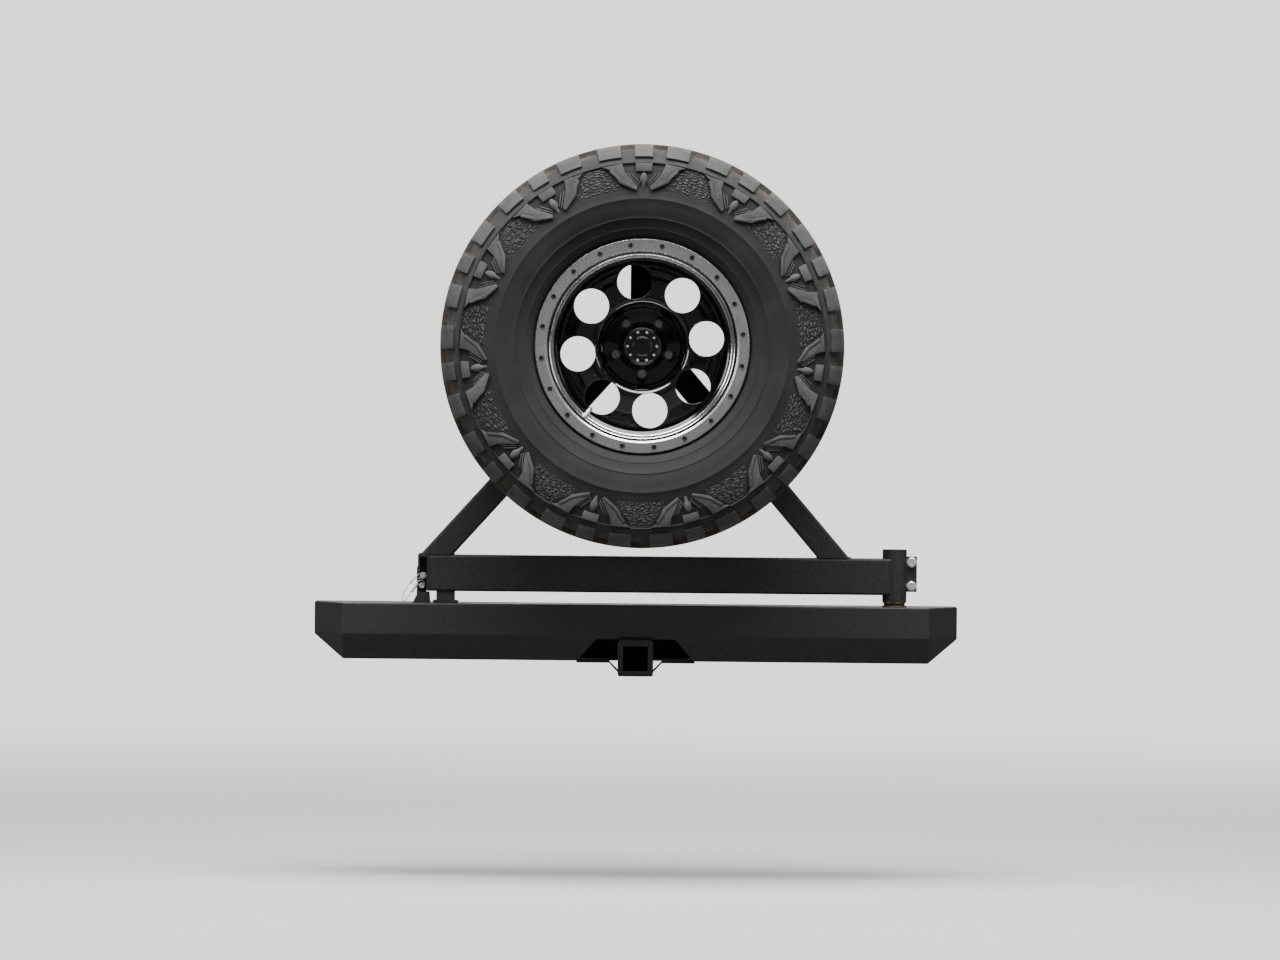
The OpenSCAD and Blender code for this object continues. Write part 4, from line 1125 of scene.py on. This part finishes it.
class CARRIER_OT_tire(CarrierStep):
    """Mould the tire: a spun casing, tread and shoulder blocks drawn out of it, and winged motifs on both sidewalls"""

    bl_idname = "carrier.tire"
    bl_label = "Tire"

    def make(self, scene):
        sizes = scene.carrier_tire
        mid = (TIRE_LOW.y + TIRE_HIGH.y) / 2
        depth = sizes.block_height
        # Half of the outer section, from the middle of the tread to the bead: radius and width
        half = []
        for w in (0, 13, 27, 39, 46, 53, 66, 80, 94, 107, 113, 120, 127, 133, 138.3):
            r, out = crown_line(sizes, w * MM)
            half.append(Vector((r, w * MM)) - out * depth)
        for r, sunk in ((382, 5.8), (376.4, 5.4), (375.8, 2.6), (374.2, 2.6), (373.4, 6.8), (366, 7.0),
                (356, 7.0), (346, 7.0), (336, 7.0), (326, 6.6), (318, 5.4), (311, 4.2)):
            radius, out = crown_line(sizes, width_at(sizes, r * MM))
            half.append(Vector((radius, width_at(sizes, r * MM))) - out * sunk * MM)
        for r, w in (
            (302, 148.6), (300.6, 149.4), (299.4, 149.4), (298, 148.6), (285, 147.4), (270, 143.4),
                (262.6, 140.6), (261.8, 141.4), (260.6, 140.8), (259.8, 139.6),
            (248, 134.2), (241, 130.2), (239.6, 130.6), (238, 129.2), (232, 124.5), (227, 119.0),
                (223.5, 112.5), (221, 106.0), (217, 103.6), (209, 103.9), (203.2, 98.9), (203.2, 75),
        ):
            half.append(Vector((r * MM, w * MM)))
        inner = [(214, 82), (240, 112), (270, 132), (305, 139), (345, 134), (375, 112), (388, 70), (389.5, 0)]
        section = [(r, w) for r, w in (tuple(p) for p in reversed(half))]
        section += [(p.x, -p.y) for p in half[1:]]
        section += [(r * MM, -w * MM) for r, w in inner] + [(r * MM, w * MM) for r, w in reversed(inner[:-1])]
        obj = drawn([(WHEEL.x, mid - w, WHEEL.z + r) for r, w in section], closed=True)
        cells = 24
        steps = cells * sizes.motifs
        bpy.ops.mesh.spin(steps=steps, angle=2 * pi, center=(WHEEL.x, mid, WHEEL.z), axis=(0, 1, 0))
        cleaned(obj, 2e-6)
        # Two rubbers: the casing's own dark one, and a lighter one that paints light on raised faces and leaves the
        # recesses as painted shade.
        painted(obj, "tire_rubber", "raised_rubber_painted_lit")

        # A cell of the spun grid: how many steps from the nearest motif's middle, and how far from the middle plane
        def cell(face_):
            c = face_.center
            turn = degrees(atan2(c.x - WHEEL.x, c.z - WHEEL.z)) / 360 * steps
            along = (turn + cells / 2) % cells - cells / 2
            return along, mid - c.y, hypot(c.x - WHEEL.x, c.z - WHEEL.z)

        shoulder_low = 0.3815

        def lug(face_):
            along, w, r = cell(face_)
            if r < shoulder_low or face_.normal.dot(Vector((face_.center.x - WHEEL.x, 0,
                    face_.center.z - WHEEL.z)).normalized()) < 0.15:
                return False
            a, side = abs(along), abs(w)
            if side > 0.053:
                return (a < 2 or 5 < a < 10) and side < 0.1375
            if side > 0.039:
                return False
            shift = 4 if w < 0 else 0
            place = (along + shift) % 8
            return 1 < place < 7 and side > 0.0 and not (side < 0.013 and place > 5)

        def void(face_):
            _, w, r = cell(face_)
            outward = Vector((face_.center.x - WHEEL.x, 0, face_.center.z - WHEEL.z)).normalized()
            if r < 0.394 or face_.normal.dot(outward) < 0.15:
                return False
            return abs(w) < 0.107 and not lug(face_)

        pick(obj, "faces", void)
        bpy.ops.mesh.extrude_region_shrink_fatten(TRANSFORM_OT_shrink_fatten={"value": -sizes.void_depth})
        object_mode()
        pick(obj, "faces", lambda f: lug(f))
        bpy.ops.mesh.extrude_region_shrink_fatten(TRANSFORM_OT_shrink_fatten={"value": depth})
        # The lug tops take the lighter rubber, as painted light on raised faces.
        obj.active_material_index = 1
        bpy.ops.object.material_slot_assign()
        object_mode()
        settled(obj, "tire_casing")
        bevelled(obj, sizes.edge_radius, 2, 35)

        # The motifs take the lighter rubber, as painted light on raised faces.
        motif = painted(self.motif(sizes, mid), "raised_rubber_painted_lit")
        both = [motif, copied(motif, mirrored_at(mid, "Y"))]
        pieces = [obj]
        for k in range(sizes.motifs):
            turn = about(WHEEL, "Y", k * 360 / sizes.motifs)
            pieces += [copied(each, turn) for each in both] if k else both
        tire = joined(pieces, "tire_moulded")
        smooth(tire, 38)
        handed_over(tire, "spare_wheel", ["tire"])

    def motif(self, sizes, mid):
        """Two wings, a small block, a keel and four fine ribs, at the top of the outer sidewall."""

        def slab(outline, height, tilt_low, tilt_high, width, lift=0.0):
            """A flat outline in millimetres from the wheel's centre, drawn out of the sidewall on a slope."""
            points = []
            for x, z in outline:
                r = hypot(x, z)
                share = (r - tilt_low[0]) / (tilt_high[0] - tilt_low[0])
                w = tilt_low[1] + share * (tilt_high[1] - tilt_low[1]) + lift
                points.append((WHEEL.x + x * MM, mid - w * MM, WHEEL.z + z * MM))
            obj = drawn(points, closed=True, fill=True)
            bpy.ops.mesh.extrude_region_move(TRANSFORM_OT_translate={"value": (0, height * MM, 0)})
            cleaned(obj)
            settled(obj)
            return bevelled(obj, width * MM, 2, 30)

        low, high = (319, 151.2), (373, 146.4)
        wing = [(85.3, 361.8), (69.2, 356.6), (56.5, 344.9), (48.5, 333.6), (16.3, 318.6), (11.7, 323.2),
            (38.5, 354.3), (44.6, 370.6)]
        crest = [(71.0, 354.0), (58.5, 342.9), (49.5, 331.2), (15.3, 316.6), (13.0, 321.8), (45.5, 337.2),
            (54.0, 347.6), (66.6, 358.2)]
        parts = [slab(wing, 12, low, high, 1.4)]
        parts.append(slab(crest, 12, low, high, 0.9, lift=1.6))
        parts.append(slab([(31.5, 352), (34.3, 351), (10.8, 325.5), (9.0, 327)], 9, low, high, 0.5, lift=-2.2))
        parts.append(slab([(24.5, 352), (27.0, 351), (8.6, 329.5), (7.2, 331)], 9, low, high, 0.5, lift=-2.2))
        parts += [copied(each, mirrored_at(WHEEL.x, "X")) for each in list(parts)]
        parts.append(slab([(-16.2, 355.5), (16.2, 355.5), (17.4, 372.6), (-17.4, 372.6)], 12, low, high, 1.2,
            lift=-0.6))
        # The keel: a long drop, pointed towards the axis
        nothing()
        bpy.ops.mesh.primitive_uv_sphere_add(segments=16, ring_count=10, radius=1)
        keel = bpy.context.object
        pick(keel, "vertices", lambda v: v.co.z < -0.2)
        bpy.ops.transform.resize(value=(0.55, 0.7, 1), center_override=(0, 0, -1))
        object_mode()
        keel.matrix_world = Matrix.Translation((WHEEL.x, mid - 0.1455,
            WHEEL.z + 0.3355)) @ Matrix.Diagonal((0.0082, 0.0058, 0.0175, 1))
        parts.append(settled(keel))
        return joined(parts, "tire_motif")


# ---- Rim ----


class CARRIER_OT_rim(CarrierStep):
    """Turn the rim barrel with its polished steps, and finish the disc with its round windows"""

    bl_idname = "carrier.rim"
    bl_label = "Rim"

    def make(self, scene):
        section = [
            (197.5, 128), (219.8, 128), (220, 127.6), (220, 122.4), (219.4, 122), (209, 121), (205, 119),
                (203, 116), (203, 92), (200, 88), (181, 76), (181, 20), (200, -53),
            (203, -59), (203, -83), (205, -86.4), (209, -88), (219.4, -89), (220, -89.4), (220, -94),
                (219, -95), (208, -95), (207, -94.6), (197.5, -89),
            (197.5, -57), (194.5, -51), (175.5, 20), (175.5, 74), (181.6, 77.2), (182.4, 78.2), (182.8, 80.6),
                (184, 81.4), (187.6, 82), (188.4, 82.8), (189, 85.4), (190.2, 86.2),
            (194, 87.2), (194.8, 88), (195.2, 91.2), (196, 92), (197, 92.4), (197.5, 93.2),
        ]
        barrel = turned_on_wheel(section, 144, "rim_barrel_turned")
        smooth(barrel, 24)
        painted(barrel, "rim_two_tone")
        handed_over(barrel, "spare_wheel", ["rim_barrel"])
        self.disc(scene)

    def disc(self, scene):
        """Spun like the barrel, then bored with eight round windows and five stud holes."""
        outer, pad = 175.4, 12
        section = [
            (36, 0), (82, 0), (85.5, 2), (88, 8), (90, 25), (92, 42), (94.5, 50), (98, 53.2), (104, 54),
                (112, 53), (126, 48.5), (140, 44), (outer - 8, 36), (outer, 36),
            (outer, 48), (outer - 8, 48), (154, 51.6), (140, 56), (126, 61), (112, 66), (106, 67.4),
                (101, 67.4), (97, 66.2), (93, 63.6), (89, 60), (86.6, 48), (84.4, 35), (82, 22),
            (80.6, 16), (78.6, 13), (75, pad), (36, pad),
        ]
        disc = turned_on_wheel(section, 180, "rim_disc_turned")
        bores = []
        for k in range(8):
            turn = radians(7.2 + 45 * k)
            bores.append((0.133, turn, 0.036, 0.160, 72))
        for k in range(5):
            bores.append((0.05715, radians(72 * k - 90), 0.00745, 0.160, 32))
        cutters = []
        for ring, turn, r, long, sides in bores:
            nothing()
            place = (WHEEL.x + ring * cos(turn), HUB_Y - 0.045, WHEEL.z + ring * sin(turn))
            bpy.ops.mesh.primitive_cylinder_add(vertices=sides, radius=r, depth=long, location=place,
                rotation=(pi / 2, 0, 0))
            cutters.append(settled(bpy.context.object))
        cutter = joined(cutters, "disc_bores")
        bored = disc.modifiers.new("bores", "BOOLEAN")
        bored.object = cutter
        bored.solver = "EXACT"
        only(disc)
        bpy.ops.object.modifier_apply(modifier=bored.name)
        bpy.data.objects.remove(cutter)
        cleaned(disc, 2e-4)
        bevelled(disc, 0.0010, 2, 48, clamp=False)
        smooth(disc, 38)
        painted(disc, "wheel_black")
        handed_over(disc, "spare_wheel", ["rim_disc"])


class CARRIER_OT_lip_ring(CarrierStep):
    """Finish the machined lip ring and its bolts"""

    bl_idname = "carrier.lip_ring"
    bl_label = "Lip ring"

    def make(self, scene):
        finished_node("lip_ring", "spare_wheel", "machined_aluminium", 0.7, segments=3)
        finished_node("ring_bolts", "spare_wheel", "black_fasteners", 0.3)


class CARRIER_OT_hub(CarrierStep):
    """Finish the centre cap, its screws and the lug nuts"""

    bl_idname = "carrier.hub"
    bl_label = "Hub"

    def make(self, scene):
        finished_node("centre_cap", "spare_wheel", "wheel_black", 0.8, segments=3)
        finished_node("cap_screws", "spare_wheel", "zinc_plate", 0.25)
        finished_node("lug_nuts", "spare_wheel", "black_fasteners", 0.8, finish="dark_chrome", segments=3)


class CARRIER_OT_valve(CarrierStep):
    """Finish the valve stem and its cap"""

    bl_idname = "carrier.valve"
    bl_label = "Valve"

    def make(self, scene):
        finished_node("valve_stem", "spare_wheel", "zinc_plate", 0.3)
        finished_node("valve_cap", "spare_wheel", "valve_metal", 0.5)


# ---- Stage ----


def soft_light(name, place, target, width, height, power):
    data = bpy.data.lights.new(name, "AREA")
    data.shape = "RECTANGLE"
    data.size, data.size_y = width, height
    data.energy = power
    lamp = bpy.data.objects.new(name, data)
    lamp.visible_camera = False
    bpy.context.scene.collection.objects.link(lamp)
    aim = Vector(target) - Vector(place)
    lamp.matrix_world = Matrix.Translation(place) @ aim.to_track_quat("-Z", "Y").to_matrix().to_4x4()
    return lamp


class CARRIER_OT_stage(CarrierStep):
    """Lay a plain pale floor and hang soft studio lights"""

    bl_idname = "carrier.stage"
    bl_label = "Stage"
    backdrop = 2.2

    def make(self, scene):
        tone = tuple(scene.carrier_colours.stage)
        nothing()
        bpy.ops.mesh.primitive_circle_add(vertices=96, radius=40, fill_type="NGON", location=(0, 0, -0.52))
        floor_ = settled(bpy.context.object, "studio_floor")
        f = Finish("studio_floor_paint")
        # Far from the pieces the floor runs into the backdrop, for the camera only
        place = f.moved()
        x, y = f.part(place, "X"), f.part(place, "Y")
        away = f.rise(f.maths("SQRT", x * x + y * y), 1.6, 7.0)
        seen = f.node("ShaderNodeLightPath") * away
        f.feed("Emission Color", f.mix(seen, (0, 0, 0), tuple(c * self.backdrop for c in tone)))
        # The floor throws back less light than the camera sees on it
        bare = f.mix(f.node("ShaderNodeLightPath"), tuple(c * 0.22 for c in tone), tone)
        f.done(f.mix(seen, bare, (0, 0, 0)), 0.85, Emission_Strength=1.0)
        floor_.data.materials.append(f.material)
        world = bpy.data.worlds.new("studio_air")
        world.use_nodes = True
        tree = world.node_tree
        air = tree.nodes["Background"]
        air.inputs["Color"].default_value = (*tone, 1)
        air.inputs["Strength"].default_value = 0.22
        # The backdrop is seen brighter than it lights the pieces
        backdrop = tree.nodes.new("ShaderNodeBackground")
        backdrop.inputs["Color"].default_value = (*tone, 1)
        backdrop.inputs["Strength"].default_value = self.backdrop
        ray = tree.nodes.new("ShaderNodeLightPath")
        choice = tree.nodes.new("ShaderNodeMixShader")
        tree.links.new(ray.outputs["Is Camera Ray"], choice.inputs[0])
        tree.links.new(air.outputs[0], choice.inputs[1])
        tree.links.new(backdrop.outputs[0], choice.inputs[2])
        tree.links.new(choice.outputs[0], tree.nodes["World Output"].inputs["Surface"])
        scene.world = world
        soft_light("overhead_softbox", (0.0, -1.6, 3.5), (0, -0.3, 0.3), 4.0, 1.8, 360)
        soft_light("front_fill", (0.5, 5.0, 2.6), (0, 0, 0.3), 4.0, 2.0, 130)
        soft_light("left_softbox", (-5.0, -3.0, 2.1), (0, -0.2, 0.4), 1.2, 2.2, 85)
        soft_light("right_softbox", (4.4, -4.2, 1.7), (0, -0.2, 0.4), 1.2, 2.2, 42)


STEPS = (
    CARRIER_OT_camera,
    CARRIER_OT_lanyard,
    CARRIER_OT_bumper,
    CARRIER_OT_receiver,
    CARRIER_OT_hinge,
    CARRIER_OT_gate,
    CARRIER_OT_wheel_mount,
    CARRIER_OT_latch,
    CARRIER_OT_gate_rest,
    CARRIER_OT_tire,
    CARRIER_OT_rim,
    CARRIER_OT_lip_ring,
    CARRIER_OT_hub,
    CARRIER_OT_valve,
    CARRIER_OT_stage,
)


class VIEW3D_PT_carrier(Panel):
    """The carrier's pieces, with their sizes and colours"""

    bl_label = "Spare Tire Carrier"
    bl_idname = "VIEW3D_PT_carrier"
    bl_space_type = "VIEW_3D"
    bl_region_type = "UI"
    bl_category = "Carrier"

    def draw(self, context):
        for step in STEPS:
            self.layout.operator(step.bl_idname, text=step.bl_label)
        for group in (context.scene.carrier_tire, context.scene.carrier_steel, context.scene.carrier_colours):
            box = self.layout.box()
            for name in group.bl_rna.properties.keys():
                if name not in ("rna_type", "name"):
                    box.prop(group, name)


CLASSES = (TireSizes, SteelSizes, Colours, *STEPS, VIEW3D_PT_carrier)


def register():
    for each in CLASSES:
        bpy.utils.register_class(each)
    bpy.types.Scene.carrier_tire = PointerProperty(type=TireSizes)
    bpy.types.Scene.carrier_steel = PointerProperty(type=SteelSizes)
    bpy.types.Scene.carrier_colours = PointerProperty(type=Colours)


def unregister():
    del bpy.types.Scene.carrier_colours
    del bpy.types.Scene.carrier_steel
    del bpy.types.Scene.carrier_tire
    for each in reversed(CLASSES):
        bpy.utils.unregister_class(each)


def main():
    register()
    for step in STEPS:
        group, name = step.bl_idname.split(".")
        getattr(getattr(bpy.ops, group), name)()


if __name__ == "__main__":
    main()
